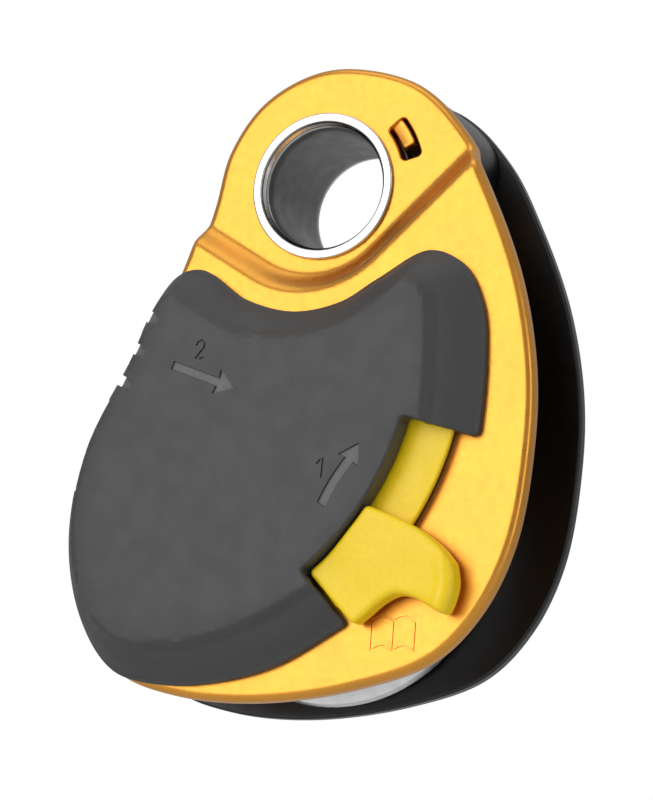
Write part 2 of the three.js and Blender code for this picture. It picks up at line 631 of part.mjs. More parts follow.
// Torsion spring on the pivot pin. One leg rests on the cover's post, the other on the lever's arm.
function latchSpring() {
  const wireR = 0.4;
  const coilR = 2.9;
  const turns = 1.5;
  const pitch = 0.9;
  const stepsPerTurn = 16;
  const startAngle = rad(60);
  const endAngle = startAngle + 2 * Math.PI * turns;
  const firstY = LEVER_FRONT_Y - 0.6;
  const points = [];
  for (let i = 0; i <= stepsPerTurn * turns; i += 1) {
    const turn = i / stepsPerTurn;
    const angle = startAngle + 2 * Math.PI * turn;
    points.push(new THREE.Vector3(
      PIVOT.x + coilR * Math.cos(angle), firstY - pitch * turn, PIVOT.z + coilR * Math.sin(angle)));
  }
  const tangent = (angle) => new THREE.Vector3(-Math.sin(angle), 0, Math.cos(angle));
  points.unshift(points[0].clone().addScaledVector(tangent(startAngle), -7));
  points.push(points[points.length - 1].clone().addScaledVector(tangent(endAngle), 5));
  const path = new THREE.CatmullRomCurve3(points, false, 'centripetal');
  const wire = new THREE.Shape();
  wire.absarc(0, 0, wireR, 0, 2 * Math.PI, false);
  return toSolid(new THREE.ExtrudeGeometry(wire, { steps: 56, extrudePath: path, curveSegments: 3 }));
}

// ---------------------------------------------------------------- assembly
// The wheel, its bearing and the spacers beside it are drawn about their own middle plane.
const bearingSeat = new THREE.Group();
bearingSeat.position.y = WHEEL_Y;
bearingSeat.add(
  named('front_axle_spacer', axleSpacer(-1), steel),
  named('rear_axle_spacer', axleSpacer(1), steel),
  named('bearing_inner_ring', innerRing(), steel),
);

const fixedSide = new THREE.Group();
fixedSide.add(
  named('rear_side_plate', rearSidePlate(), blackAnodised),
  named('head_spacer', headSpacer(), blackAnodised),
  named('eye_bushing', eyeBushing(), steel),
  named('pivot_washer', pivotWasher(), acetal),
  named('spacer_rivet_left', spacerRivet(...SPACER_RIVETS[0]), steel),
  named('spacer_rivet_right', spacerRivet(...SPACER_RIVETS[1]), steel),
  named('axle', axle(), steel),
  bearingSeat,
);

const wheel = new THREE.Group();
wheel.position.y = WHEEL_Y;
wheel.add(
  named('sheave', sheave(), aluminium),
  named('bearing_outer_ring', outerRing(), steel),
  named('front_bearing_seal', bearingSeal(-1), sealRubber),
  named('rear_bearing_seal', bearingSeal(1), sealRubber),
  named('bearing_circlip', bearingCirclip(), springSteel),
);

const rollingSet = new THREE.Group();
rollingSet.position.y = WHEEL_Y;
rollingSet.add(named('bearing_cage', bearingCage(), brassCage));
for (let i = 0; i < BALL_COUNT; i += 1) {
  rollingSet.add(named(`bearing_ball_${i + 1}`, ball(i), steel));
}

const swingingSide = new THREE.Group();
swingingSide.add(
  named('front_side_plate', frontSidePlate(), goldAnodised),
  named('front_cover', frontCover(), blackPlastic),
  named('latch_pivot_pin', latchPivotPin(), steel),
  named('latch_spring', latchSpring(), springSteel),
);
COVER_SCREWS.forEach(([x, z], i) => {
  swingingSide.add(named(`cover_screw_${i + 1}`, coverScrew(x, z), steel));
});

const latch = new THREE.Group();
latch.add(
  named('latch_lever', latchLever(), springSteel),
  named('latch_button', latchButton(), yellowPlastic),
);
BUTTON_RIVET_DEG.forEach((degrees, i) => {
  latch.add(named(`button_rivet_${i + 1}`, buttonRivet(degrees), steel));
});

const pulley = new THREE.Group();
pulley.add(fixedSide, wheel, rollingSet, swingingSide, latch);
pulley.position.y = -AXLE_REAR_Y;

export default pulley;
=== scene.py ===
"""Looks of the rope pulley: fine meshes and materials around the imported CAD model.

Shapes are drawn in millimetres about the sheave's centre, with X to the right, Z up and the cover
facing -Y. Outlines are drawn in the X-Z plane, as the object is seen from the front.
"""
import json
import math

import bmesh
import bpy
import numpy as np
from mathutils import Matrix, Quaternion, Vector
from mathutils.geometry import delaunay_2d_cdt


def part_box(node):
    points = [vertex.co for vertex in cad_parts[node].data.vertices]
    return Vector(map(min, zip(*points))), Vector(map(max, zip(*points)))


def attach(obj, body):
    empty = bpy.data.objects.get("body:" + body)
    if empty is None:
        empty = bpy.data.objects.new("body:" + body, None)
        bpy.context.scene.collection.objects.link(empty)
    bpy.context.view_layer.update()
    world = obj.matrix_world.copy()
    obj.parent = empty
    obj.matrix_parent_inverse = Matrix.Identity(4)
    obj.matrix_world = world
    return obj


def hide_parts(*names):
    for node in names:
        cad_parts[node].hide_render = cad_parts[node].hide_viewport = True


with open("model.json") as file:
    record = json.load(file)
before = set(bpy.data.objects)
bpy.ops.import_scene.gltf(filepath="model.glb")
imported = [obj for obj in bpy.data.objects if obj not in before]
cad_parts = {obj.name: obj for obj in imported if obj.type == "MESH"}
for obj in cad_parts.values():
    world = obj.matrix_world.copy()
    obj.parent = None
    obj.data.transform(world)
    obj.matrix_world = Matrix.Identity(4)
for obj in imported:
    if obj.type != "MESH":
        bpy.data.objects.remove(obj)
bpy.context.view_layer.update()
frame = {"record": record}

MM = 0.001
BODY_OF = {node: body for body, nodes in frame["record"]["behaviour"]["bodies"].items() for node in nodes}


def middle(node):
    low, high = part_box(node)
    return (low + high) / 2


# The drawing's origin lies on the sheave's axis, 10.5 mm behind the eye's front rim.
DRAWING_ORIGIN = Vector((middle("sheave").x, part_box("eye_bushing")[0].y + 10.5 * MM, middle("sheave").z))


def span(node):
    """Lowest and highest corner of a CAD node, in drawing millimetres."""
    low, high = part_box(node)
    return (low - DRAWING_ORIGIN) / MM, (high - DRAWING_ORIGIN) / MM


def depths(node):
    """Front and back of a CAD node, in drawing millimetres."""
    return tuple(corner.y for corner in span(node))


def radius_of(node):
    low, high = span(node)
    return (high.x - low.x) / 2


def axis_of(node):
    """Where the Y-parallel axis of a turned CAD node crosses the X-Z plane."""
    at = (middle(node) - DRAWING_ORIGIN) / MM
    return np.array([at.x, at.z])


# ---------------------------------------------------------------- driving dimensions
EYE = axis_of("eye_bushing")
PIVOT = axis_of("latch_pivot_pin")
ORIGIN = np.zeros(2)
GAP = 0.3

PLATE_T = 2.8
BODY_FRONT = depths("front_side_plate")[0]
JOGGLE = 3.2
JOGGLE_WIDTH = 4.2
JOGGLE_R = 12.9
JOGGLE_CENTRE = EYE - (1.25, 0)
JOGGLE_LEFT_DEG = 240
JOGGLE_RIGHT_DEG = 315

BUSHING_R = 10.3
BUSHING_BORE_R = 9.1
AXLE_R = 5
NECK_R = 4
AXLE_HEAD_R = 6.5
PIN_R = 2.3
PIN_HEAD_R = 3.6
SCREW_R = 1.3
SCREW_HEAD_R = 2.8
SCREW_NODES = [f"cover_screw_{i}" for i in range(1, 5)]
BUTTON_RIVETS = [f"button_rivet_{i}" for i in (1, 2)]
SPACER_RIVETS = [f"spacer_rivet_{side}" for side in ("left", "right")]
RIVET_R = 1.6
RIVET_HEAD_R = 2.4
BALL_R = 2.4
BALL_PITCH_R = 10.4
BALLS = [f"bearing_ball_{i}" for i in range(1, 9)]
IN_FRONT = -20                # a depth in front of every plate and pin
BEHIND_LEVER = -12
STOP_INNER_R = 12.8
STOP_OUTER_R = 16
STOP_WINDOW_DEG = (16.5, 41)
STOP_TAB_DEG = (25, 43)
SWING_DEG = 100
AXLE_EXIT_DEG = 225

COVER_FRONT, COVER_BACK = depths("front_cover")
COVER_WALL = 1.7
COVER_POST_R = 3.2
NOTCH_DEG = (-50.5, -12.5)
NOTCH_INNER_R = 40.8
STRIP_INNER_R = 40.4
STRIP_OUTER_R = 47.6
STRIP_TOP_DEG = -8.5
STRIP_LOW_DEG = -50.1
STRIP_FRONT = -15.4
BUTTON_FRONT, BUTTON_BACK = depths("latch_button")
BUTTON_TRAVEL_DEG = 17


# ---------------------------------------------------------------- outlines
def spline(corners, steps):
    """A closed centripetal Catmull-Rom curve through the corners."""
    points = np.array(corners, float)
    count = len(points)
    loop = []
    for i in range(count):
        p0, p1, p2, p3 = (points[(i + k) % count] for k in (-1, 0, 1, 2))
        d0, d1, d2 = (math.sqrt(np.linalg.norm(b - a)) for a, b in ((p0, p1), (p1, p2), (p2, p3)))
        m1 = d1 * ((p1 - p0) / d0 - (p2 - p0) / (d0 + d1) + (p2 - p1) / d1)
        m2 = d1 * ((p2 - p1) / d1 - (p3 - p1) / (d1 + d2) + (p3 - p2) / d2)
        for t in np.arange(steps) / steps:
            loop.append(
                (2 * t**3 - 3 * t**2 + 1) * p1 + (t**3 - 2 * t**2 + t) * m1
                + (3 * t**2 - 2 * t**3) * p2 + (t**3 - t**2) * m2)
    return np.array(loop)


def polar(centre, radius, degrees):
    angle = math.radians(degrees)
    return np.array([centre[0] + radius * math.cos(angle), centre[1] + radius * math.sin(angle)])


def arc(centre, radius, start, end, step_mm=0.6):
    steps = max(2, math.ceil(abs(math.radians(end - start)) * radius / step_mm))
    return np.array([polar(centre, radius, a) for a in np.linspace(start, end, steps + 1)])


def circle(centre, radius, step_mm=0.6):
    return arc(centre, radius, 0, 360, step_mm)[:-1]


def area(loop):
    ahead = np.roll(loop, -1, axis=0)
    return 0.5 * np.sum(loop[:, 0] * ahead[:, 1] - loop[:, 1] * ahead[:, 0])


def turning(loop, anticlockwise=True):
    return loop if (area(loop) > 0) == anticlockwise else loop[::-1].copy()


def reach_along(line):
    """How far along an open line each of its points lies."""
    return np.concatenate([[0], np.cumsum(np.linalg.norm(np.diff(line, axis=0), axis=1))])


def resampled(points, spacing, closed=True):
    """The same line with evenly spaced points."""
    line = np.vstack([points, points[:1]]) if closed else points
    lengths = reach_along(line)
    count = max(2, round(lengths[-1] / spacing))
    at = np.linspace(0, lengths[-1], count + 1)
    even = np.column_stack([np.interp(at, lengths, line[:, k]) for k in (0, 1)])
    return even[:-1] if closed else even


def straight(start, end, spacing=0.6):
    return resampled(np.array([start, end]), spacing, closed=False)


def unit(vector):
    return vector / np.linalg.norm(vector)


def trimmed(run, start, end):
    """An open run, shortened by these lengths at its ends."""
    lengths = reach_along(run)
    low, high = start, lengths[-1] - end
    apart = 0.15 * lengths[-1] / max(len(run) - 1, 1)
    inner = run[(lengths > low + apart) & (lengths < high - apart)]
    ends = [np.array([np.interp(at, lengths, run[:, k]) for k in (0, 1)]) for at in (low, high)]
    return np.vstack([ends[:1], inner, ends[1:]])


def corner_reach(arriving, leaving, radius):
    """How far a corner of this radius reaches back along the two runs that meet there."""
    if not radius:
        return 0.0
    arms = [unit(arriving[-2] - arriving[-1]), unit(leaving[1] - leaving[0])]
    return radius / math.tan(math.acos(np.clip(arms[0] @ arms[1], -1, 1)) / 2)


def rounded_loop(runs, radii, steps=5):
    """One loop out of open runs that meet end to start. radii[i] rounds the corner where run i starts."""
    reach = [corner_reach(runs[i - 1], run, radii[i]) for i, run in enumerate(runs)]
    loop = []
    for i, run in enumerate(runs):
        following = (i + 1) % len(runs)
        here = trimmed(run, reach[i], reach[following])
        ahead = trimmed(runs[following], reach[following], 0)
        loop.extend(here if radii[following] else here[:-1])
        if radii[following]:
            loop.extend(fillet(here[-1], runs[following][0], ahead[0], steps)[1:-1])
    return np.array(loop)


def fillet(start, corner, end, steps):
    """Points of a circular arc that is tangent to both sides of a corner."""
    arms = [unit(p - corner) for p in (start, end)]
    weight = math.sqrt(max(0.0, (1 - arms[0] @ arms[1]) / 2))
    points = []
    for t in np.linspace(0, 1, steps + 1):
        shares = np.array([(1 - t) ** 2, 2 * t * (1 - t) * weight, t**2])
        points.append((shares[0] * start + shares[1] * corner + shares[2] * end) / shares.sum())
    return points


def polygon(corners, radii, spacing=0.6):
    """A straight-sided loop. radii[i] rounds its corner i."""
    corners = [np.array(corner, float) for corner in corners]
    runs = [straight(a, b, spacing) for a, b in zip(corners, corners[1:] + corners[:1])]
    return rounded_loop(runs, radii)


def sector(centre, inner, outer, start, end, radius=0.0):
    """Part of a ring, between two angles counted from +X towards +Z."""
    runs = [
        arc(centre, outer, start, end),
        straight(polar(centre, outer, end), polar(centre, inner, end)),
        arc(centre, inner, end, start),
        straight(polar(centre, inner, start), polar(centre, outer, start))]
    return rounded_loop(runs, [radius] * 4)


def stroke(points, width):
    """A drawn line as a loop of the given width."""
    line = np.array(points, float)
    along = np.gradient(line, axis=0)
    along /= np.linalg.norm(along, axis=1)[:, None]
    side = np.column_stack([-along[:, 1], along[:, 0]]) * width / 2
    return turning(np.vstack([line + side, (line - side)[::-1]]))


def shifted(loop, distance):
    """The loop moved to its left: inwards if it runs anticlockwise."""
    ahead = np.roll(loop, -1, axis=0) - loop
    ahead /= np.linalg.norm(ahead, axis=1)[:, None]
    behind = np.roll(ahead, 1, axis=0)
    both = ahead + behind
    both /= np.linalg.norm(both, axis=1)[:, None]
    stretch = 1 / np.clip(np.sum(both * ahead, axis=1), 0.6, 1)
    normal = np.column_stack([-both[:, 1], both[:, 0]])
    return loop + normal * (stretch * distance)[:, None]


def is_inside(points, loops):
    inside = np.zeros(len(points), bool)
    x, z = points[:, 0], points[:, 1]
    for loop in loops:
        for (ax, az), (bx, bz) in zip(loop, np.roll(loop, -1, axis=0)):
            if az == bz:
                continue
            crossing = (az > z) != (bz > z)
            inside ^= crossing & (x < ax + (z - az) / (bz - az) * (bx - ax))
    return inside


def distance(points, line, closed=True):
    """How far each point is from a line of points."""
    best = np.full(len(points), np.inf)
    pairs = list(zip(line[:-1], line[1:])) + ([(line[-1], line[0])] if closed else [])
    for a, b in pairs:
        along = b - a
        t = np.clip(((points - a) @ along) / max(along @ along, 1e-12), 0, 1)
        best = np.minimum(best, np.linalg.norm(points - a - t[:, None] * along, axis=1))
    return best


def smooth(value, low, high):
    t = np.clip((value - low) / (high - low), 0, 1)
    return t * t * (3 - 2 * t)


# ---------------------------------------------------------------- solids
def grid(loops, spacing, wanted=None):
    """Points of a triangular grid inside the first loop and clear of every loop."""
    low, high = loops[0].min(axis=0), loops[0].max(axis=0)
    rows = np.arange(low[1], high[1], spacing * math.sqrt(0.75))
    columns = np.arange(low[0], high[0], spacing)
    points = np.array([
        (x + (row % 2) * spacing / 2, z) for row, z in enumerate(rows) for x in columns])
    if wanted is not None:
        points = points[wanted(points)]
    points = points[is_inside(points, loops[:1])]
    for loop in loops:
        points = points[distance(points, loop) > 0.6 * spacing]
    return points


def within(triangles, rings):
    """Which triangles lie inside the rings: crossing an edge of a ring changes sides."""
    walls = {frozenset((int(a), int(b))) for ring in rings for a, b in zip(ring, np.roll(ring, -1))}
    sharing = {}
    for i, (a, b, c) in enumerate(triangles.tolist()):
        for edge in ((a, b), (b, c), (c, a)):
            sharing.setdefault(frozenset(edge), []).append(i)
    beside = [[] for _ in triangles]
    waiting = []
    for edge, faces in sharing.items():
        crossing = edge in walls
        if len(faces) == 1:
            waiting.append((faces[0], crossing))
        else:
            beside[faces[0]].append((faces[1], crossing))
            beside[faces[1]].append((faces[0], crossing))
    inside = {}
    while waiting:
        face, side = waiting.pop()
        if face not in inside:
            inside[face] = side
            waiting.extend((other, side ^ crossing) for other, crossing in beside[face])
    return np.array([inside[i] for i in range(len(triangles))])


def filled(loops, marks, points):
    """Triangulates the space between closed loops, with edges along the marks, and numbers their rings."""
    everything = np.vstack([*loops, *marks, points])
    rings, start = [], 0
    for loop in [*loops, *marks]:
        rings.append(np.arange(start, start + len(loop)))
        start += len(loop)
    edges = [(int(a), int(b)) for ring in rings for a, b in zip(ring, np.roll(ring, -1))]
    made = delaunay_2d_cdt([Vector(p) for p in everything], edges, [], 0, 1e-7, True)
    if len(made[0]) != len(everything):
        raise ValueError("two outlines touch")
    source = [origins[0] for origins in made[3]]
    triangles = np.array([[source[i] for i in face] for face in made[2]])
    a, b, c = (everything[triangles[:, k]] for k in range(3))
    clockwise = (b[:, 0] - a[:, 0]) * (c[:, 1] - a[:, 1]) < (b[:, 1] - a[:, 1]) * (c[:, 0] - a[:, 0])
    triangles[clockwise] = triangles[clockwise][:, ::-1]
    used = within(triangles, rings[:len(loops)])
    return everything, triangles, used, rings


class Solid:
    """Vertices and faces of closed shapes, in drawing millimetres."""

    def __init__(self):
        self.vertices = []
        self.faces = []

    def ring(self, points, y):
        start = len(self.vertices)
        self.vertices.extend((x, level, z) for (x, z), level in zip(points, np.broadcast_to(y, len(points))))
        return np.arange(start, start + len(points))

    def band(self, front, back):
        """Joins two rings. Seen from the front, their outside is to the right of the way they run."""
        for i in range(len(front)):
            j = (i + 1) % len(front)
            self.faces.append((front[i], back[i], back[j], front[j]))


def level_of(surface, points):
    return surface(points) if callable(surface) else np.full(len(points), float(surface))


def slab(rims, front, back, recesses=(), spacing=3.0, fine=0.8, detailed=None, steps=4):
    """A solid between the surfaces y = front and y = back, with rounded rims.

    rims holds (loop, front radius, back radius): the outline first, then the holes.
    recesses holds (loops, depth, draft): shapes that are sunk into the front.
    """
    solid = Solid()
    rims = [(turning(loop, i == 0), front_r, back_r) for i, (loop, front_r, back_r) in enumerate(rims)]

    def rounded_rows(loop, radius, surface, direction):
        has_radius = np.any(np.asarray(radius) > 0)
        rows = []
        for k in range(steps + 1) if has_radius else (steps,):
            turn = math.pi / 2 * k / steps
            points = shifted(loop, radius * (1 - math.cos(turn))) if has_radius else loop
            rows.append((points, level_of(surface, points) + direction * radius * (1 - math.sin(turn))))
        return rows

    front_rows = [rounded_rows(loop, front_r, front, 1) for loop, front_r, _ in rims]
    back_rows = [rounded_rows(loop, back_r, back, -1) for loop, _, back_r in rims]

    marks = [turning(loop, i > 0) for loops, _, _ in recesses for i, loop in enumerate(loops)]

    def cap(rows, surface, marked):
        """Fills inside the last row of every rim, and returns the ring of each rim."""
        loops = [row[-1][0] for row in rows]
        keep = [*loops, *marked]
        points = [grid(keep, spacing, (lambda p: ~detailed(p)) if detailed else None)]
        if detailed:
            points.append(grid(keep, fine, detailed))
        everything, triangles, used, rings = filled(loops, marked, np.vstack(points))
        y = level_of(surface, everything)
        start = len(solid.vertices)
        solid.vertices.extend((p[0], level, p[1]) for p, level in zip(everything, y))
        return triangles, used, start, rings

    triangles, used, start, rings = cap(front_rows, front, marks)
    sunk = np.zeros(len(triangles), bool)
    first_mark = len(rims)
    for loops, depth, draft in recesses:
        rings_here = rings[first_mark:first_mark + len(loops)]
        first_mark += len(loops)
        here = used & within(triangles, rings_here)
        sunk |= here
        lowered = {}
        for ring_here, loop in zip(rings_here, [turning(loop, i > 0) for i, loop in enumerate(loops)]):
            floor = shifted(loop, -draft)
            ys = level_of(front, floor) + depth
            new = solid.ring(floor, ys)
            lowered.update(zip(ring_here + start, new))
            solid.band(ring_here + start, new)
        for corners in triangles[here]:
            face = []
            for corner in corners + start:
                if corner not in lowered:
                    x, y, z = solid.vertices[corner]
                    solid.vertices[corner] = (x, y + depth, z)
                    lowered[corner] = corner
                face.append(lowered[corner])
            solid.faces.append(tuple(face))
    solid.faces.extend(tuple(corners + start) for corners in triangles[used & ~sunk])

    back_triangles, back_used, back_start, back_rings = cap(back_rows, back, [])
    solid.faces.extend(tuple((corners + back_start)[::-1]) for corners in back_triangles[back_used])

    for i in range(len(rims)):
        chain = [rings[i] + start]
        chain += [solid.ring(points, y) for points, y in reversed(front_rows[i][:-1])]
        chain += [solid.ring(points, y) for points, y in back_rows[i][:-1]]
        chain.append(back_rings[i] + back_start)
        for a, b in zip(chain, chain[1:]):
            solid.band(a, b)
    return solid


def rounded_profile(corners, steps=4):
    """A closed outline of (radius, y, corner radius), with each corner rounded."""
    points = [np.array(corner[:2], float) for corner in corners]
    line = []
    for i, corner in enumerate(corners):
        size = corner[2] if len(corner) > 2 else 0
        if not size:
            line.append(points[i])
            continue
        before, after = points[i - 1] - points[i], points[(i + 1) % len(points)] - points[i]
        start, end = points[i] + unit(before) * size, points[i] + unit(after) * size
        line.extend(fillet(start, points[i], end, steps))
    return line


def turned(centre, corners, segments=96):
    """A solid turned about the Y direction through centre."""
    solid = Solid()
    profile = rounded_profile(corners)
    angles = np.linspace(0, 360, segments, endpoint=False)
    rings = []
    for radius, y in profile:
        if radius < 1e-6:
            rings.append(np.full(segments, solid.ring([centre], y)[0]))
        else:
            rings.append(solid.ring([polar(centre, radius, a) for a in angles], y))
    inwards = area(np.array(profile)) < 0
    for i, ring_here in enumerate(rings):
        ahead = rings[(i + 1) % len(rings)]
        for a in range(segments):
            b = (a + 1) % segments
            face = [ring_here[a], ring_here[b], ahead[b], ahead[a]]
            face = list(dict.fromkeys(int(corner) for corner in face))
            if len(face) > 2:
                solid.faces.append(tuple(face[::-1] if inwards else face))
    return solid


def tube(path, radius, segments=10):
    """A round wire along a path of 3-D points, closed at its ends."""
    solid = Solid()
    path = np.array(path, float)
    along = np.gradient(path, axis=0)
    along /= np.linalg.norm(along, axis=1)[:, None]
    side = np.cross(along[0], (0, 1, 0.3))
    rings = []
    for point, direction in zip(path, along):
        side = side - direction * (side @ direction)
        side /= np.linalg.norm(side)
        other = np.cross(direction, side)
        start = len(solid.vertices)
        for k in range(segments):
            turn = 2 * math.pi * k / segments
            solid.vertices.append(tuple(point + radius * (side * math.cos(turn) + other * math.sin(turn))))
        rings.append(range(start, start + segments))
    for a, b in zip(rings, rings[1:]):
        for k in range(segments):
            n = (k + 1) % segments
            solid.faces.append((a[k], a[n], b[n], b[k]))
    solid.faces.append(tuple(rings[0])[::-1])
    solid.faces.append(tuple(rings[-1]))
    return solid


# ---------------------------------------------------------------- objects
def linked(name, data):
    obj = bpy.data.objects.new(name, data)
    bpy.context.scene.collection.objects.link(obj)
    return obj


def as_object(name, solid):
    """A mesh object of a solid, with merged vertices and its faces pointing out."""
    mesh = bpy.data.meshes.new(name)
    mesh.from_pydata([DRAWING_ORIGIN + Vector(v) * MM for v in solid.vertices], [], solid.faces)
    shape = bmesh.new()
    shape.from_mesh(mesh)
    bmesh.ops.remove_doubles(shape, verts=shape.verts, dist=1e-7)
    if shape.calc_volume(signed=True) < 0:
        bmesh.ops.reverse_faces(shape, faces=shape.faces)
    shape.to_mesh(mesh)
    shape.free()
    return linked(name, mesh)


def combine(obj, other, operation):
    """Adds a solid or an object to an object, or takes it away."""
    tool = other if isinstance(other, bpy.types.Object) else as_object("tool", other)
    modifier = obj.modifiers.new(operation, "BOOLEAN")
    modifier.operation = operation
    modifier.solver = "MANIFOLD"
    modifier.object = tool
    graph = bpy.context.evaluated_depsgraph_get()
    mesh = bpy.data.meshes.new_from_object(obj.evaluated_get(graph))
    obj.modifiers.clear()
    obj.data = mesh
    bpy.data.objects.remove(tool)


def cut(obj, *solids):
    for solid in solids:
        combine(obj, solid, "DIFFERENCE")


def join(obj, *solids):
    for solid in solids:
        combine(obj, solid, "UNION")


def dress(obj, slot, sharp_deg=35):
    """Gives an object its finish, with crisp edges and flat faces."""
    mesh = obj.data
    mesh.materials.clear()
    mesh.materials.append(FINISHES[slot])
    mesh.shade_smooth()
    mesh.set_sharp_from_angle(angle=math.radians(sharp_deg))
    normals = obj.modifiers.new("face_normals", "WEIGHTED_NORMAL")
    normals.keep_sharp = True
    normals.weight = 60


def show(obj, node, slot):
    """The object stands for a CAD node, on that node's body."""
    dress(obj, slot)
    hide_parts(node)
    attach(obj, BODY_OF[node])
    return obj


def box_solid(centre, size, turn_deg):
    """A block about a 3-D point, turned in the X-Z plane."""
    solid = Solid()
    half = [edge / 2 for edge in size]
    angle = math.radians(turn_deg)
    along = Vector((math.cos(angle), 0, math.sin(angle)))
    up = Vector((-math.sin(angle), 0, math.cos(angle)))
    depth = Vector((0, 1, 0))
    corners = [
        Vector(centre) + along * half[0] * sx + depth * half[1] * sy + up * half[2] * sz
        for sx in (-1, 1) for sy in (-1, 1) for sz in (-1, 1)]
    solid.vertices = [tuple(corner) for corner in corners]
    solid.faces = [(0, 1, 3, 2), (4, 6, 7, 5), (0, 4, 5, 1), (2, 3, 7, 6), (0, 2, 6, 4), (1, 5, 7, 3)]
    return solid


def pin(centre, radius, back, front, segments=48):
    return turned(centre, [(0, front), (radius, front), (radius, back), (0, back)], segments)


def plain_slab(loop, back, front):
    return slab([(loop, 0, 0)], front, back, spacing=6.0)


# ---------------------------------------------------------------- finishes
class Shader:
    """A node material, put together one node at a time."""

    def __init__(self, name):
        self.material = bpy.data.materials.new(name)
        self.material.use_nodes = True
        self.nodes = self.material.node_tree.nodes
        self.links = self.material.node_tree.links
        self.bsdf = self.nodes["Principled BSDF"]
        self.coords = self.add("ShaderNodeTexCoord").outputs["Object"]
        self.bumped = None

    def feed(self, socket, value):
        if isinstance(value, bpy.types.NodeSocket):
            self.links.new(value, socket)
        else:
            socket.default_value = value

    def add(self, kind, inputs=None, **settings):
        node = self.nodes.new(kind)
        for key, value in settings.items():
            setattr(node, key, value)
        for key, value in (inputs or {}).items():
            self.feed(node.inputs[key], value)
        return node

    def set(self, **values):
        for key, value in values.items():
            self.feed(self.bsdf.inputs[key.replace("_", " ")], value)

    def stretched(self, x, y, z):
        return self.add(
            "ShaderNodeMapping", {"Vector": self.coords, "Scale": (x, y, z)}).outputs["Vector"]

    def noise(self, size_mm, detail=2.0, at=None, roughness=0.5):
        node = self.add("ShaderNodeTexNoise", {
            "Vector": at or self.coords, "Scale": 1 / (size_mm * MM), "Detail": detail,
            "Roughness": roughness})
        return node.outputs["Fac"]

    def remap(self, value, low, high, to_low, to_high):
        node = self.add("ShaderNodeMapRange", {
            "Value": value, "From Min": low, "From Max": high, "To Min": to_low, "To Max": to_high})
        return node.outputs["Result"]

    def math(self, operation, a, b):
        node = self.add("ShaderNodeMath", {0: a, 1: b}, operation=operation)
        return node.outputs["Value"]

    def mix(self, share, a, b):
        node = self.add("ShaderNodeMix", data_type="RGBA")
        self.feed(node.inputs["Factor"], share)
        self.feed(node.inputs["A"], a)
        self.feed(node.inputs["B"], b)
        return node.outputs["Result"]

    def edges(self, radius_mm):
        """1 on rims and corners sharper than the radius, 0 on open faces."""
        bevel = self.add("ShaderNodeBevel", {"Radius": radius_mm * MM}, samples=6)
        normal = self.add("ShaderNodeNewGeometry").outputs["Normal"]
        dot = self.add("ShaderNodeVectorMath", operation="DOT_PRODUCT")
        self.links.new(bevel.outputs["Normal"], dot.inputs[0])
        self.links.new(normal, dot.inputs[1])
        return self.remap(dot.outputs["Value"], 0.98, 0.75, 0.0, 1.0)

    def bump(self, height, depth_mm):
        inputs = {"Height": height, "Distance": depth_mm * MM, "Strength": 1.0}
        if self.bumped:
            inputs["Normal"] = self.bumped
        self.bumped = self.add("ShaderNodeBump", inputs).outputs["Normal"]
        self.set(Normal=self.bumped)


def colour(red, green, blue):
    return (red, green, blue, 1.0)


def darker(base, share):
    return tuple(share * c for c in base[:3]) + (1.0,)


def anodised(name, base, rim_highlight_colour, roughness, coat):
    """Dyed, bead-blasted aluminium: a fine satin skin, with a painted highlight that makes rims and corners
    paler in patches.
    """
    shader = Shader(name)
    grain = shader.noise(0.25, 3)
    clouds = shader.noise(9.0, 3)
    patches = shader.remap(shader.noise(1.6, 4), 0.35, 0.7, 0.1, 0.9)
    # painted highlight: rims and corners are mixed towards the paler rim colour, in patches
    rim_highlight = shader.math("MULTIPLY", shader.edges(0.35), patches)
    tone = shader.mix(shader.remap(clouds, 0.3, 0.7, 0.0, 1.0), base, darker(base, 0.93))
    shader.set(
        Base_Color=shader.mix(shader.math("MULTIPLY", rim_highlight, 0.45), tone, rim_highlight_colour),
        Metallic=1.0,
        Roughness=shader.remap(shader.noise(1.2, 3), 0.3, 0.7, roughness - 0.04, roughness + 0.05),
        Coat_Weight=coat,
        Coat_Roughness=0.3,
        Coat_IOR=1.55)
    shader.bump(grain, 0.0035)
    return shader.material


def moulded(name, base, roughness, grain_mm, grain_depth_mm, edge_highlight_colour, fleck=0.86):
    """Injection moulded plastic with a fine eroded texture, and a painted highlight that makes its edges and
    corners paler.
    """
    shader = Shader(name)
    grain = shader.noise(grain_mm, 2)
    speckle = shader.remap(shader.noise(grain_mm * 1.4, 3), 0.35, 0.65, 0.0, 1.0)
    tone = shader.mix(speckle, darker(base, fleck), base)
    # painted highlight: edges and corners are mixed halfway towards the paler edge colour
    edge = shader.edges(0.25)
    shader.set(
        Base_Color=shader.mix(shader.math("MULTIPLY", edge, 0.5), tone, edge_highlight_colour),
        Roughness=shader.remap(shader.noise(3.5, 3), 0.3, 0.7, roughness - 0.05, roughness + 0.05),
        IOR=1.5)
    shader.bump(grain, grain_depth_mm)
    return shader.material


def machined(name, base, roughness, line_mm=0.12, line_depth_mm=0.002):
    """Turned metal: faint rings left by the tool, a little smearing and clean rims."""
    shader = Shader(name)
    rings = shader.noise(line_mm, 2, shader.stretched(0.02, 1.0, 0.02))
    smear = shader.noise(2.2, 3)
    shader.set(
        Base_Color=shader.mix(shader.remap(smear, 0.3, 0.7, 0.0, 1.0), base, darker(base, 0.88)),
        Metallic=1.0,
        Roughness=shader.remap(smear, 0.3, 0.7, roughness - 0.04, roughness + 0.06))
    shader.bump(rings, line_depth_mm)
    return shader.material


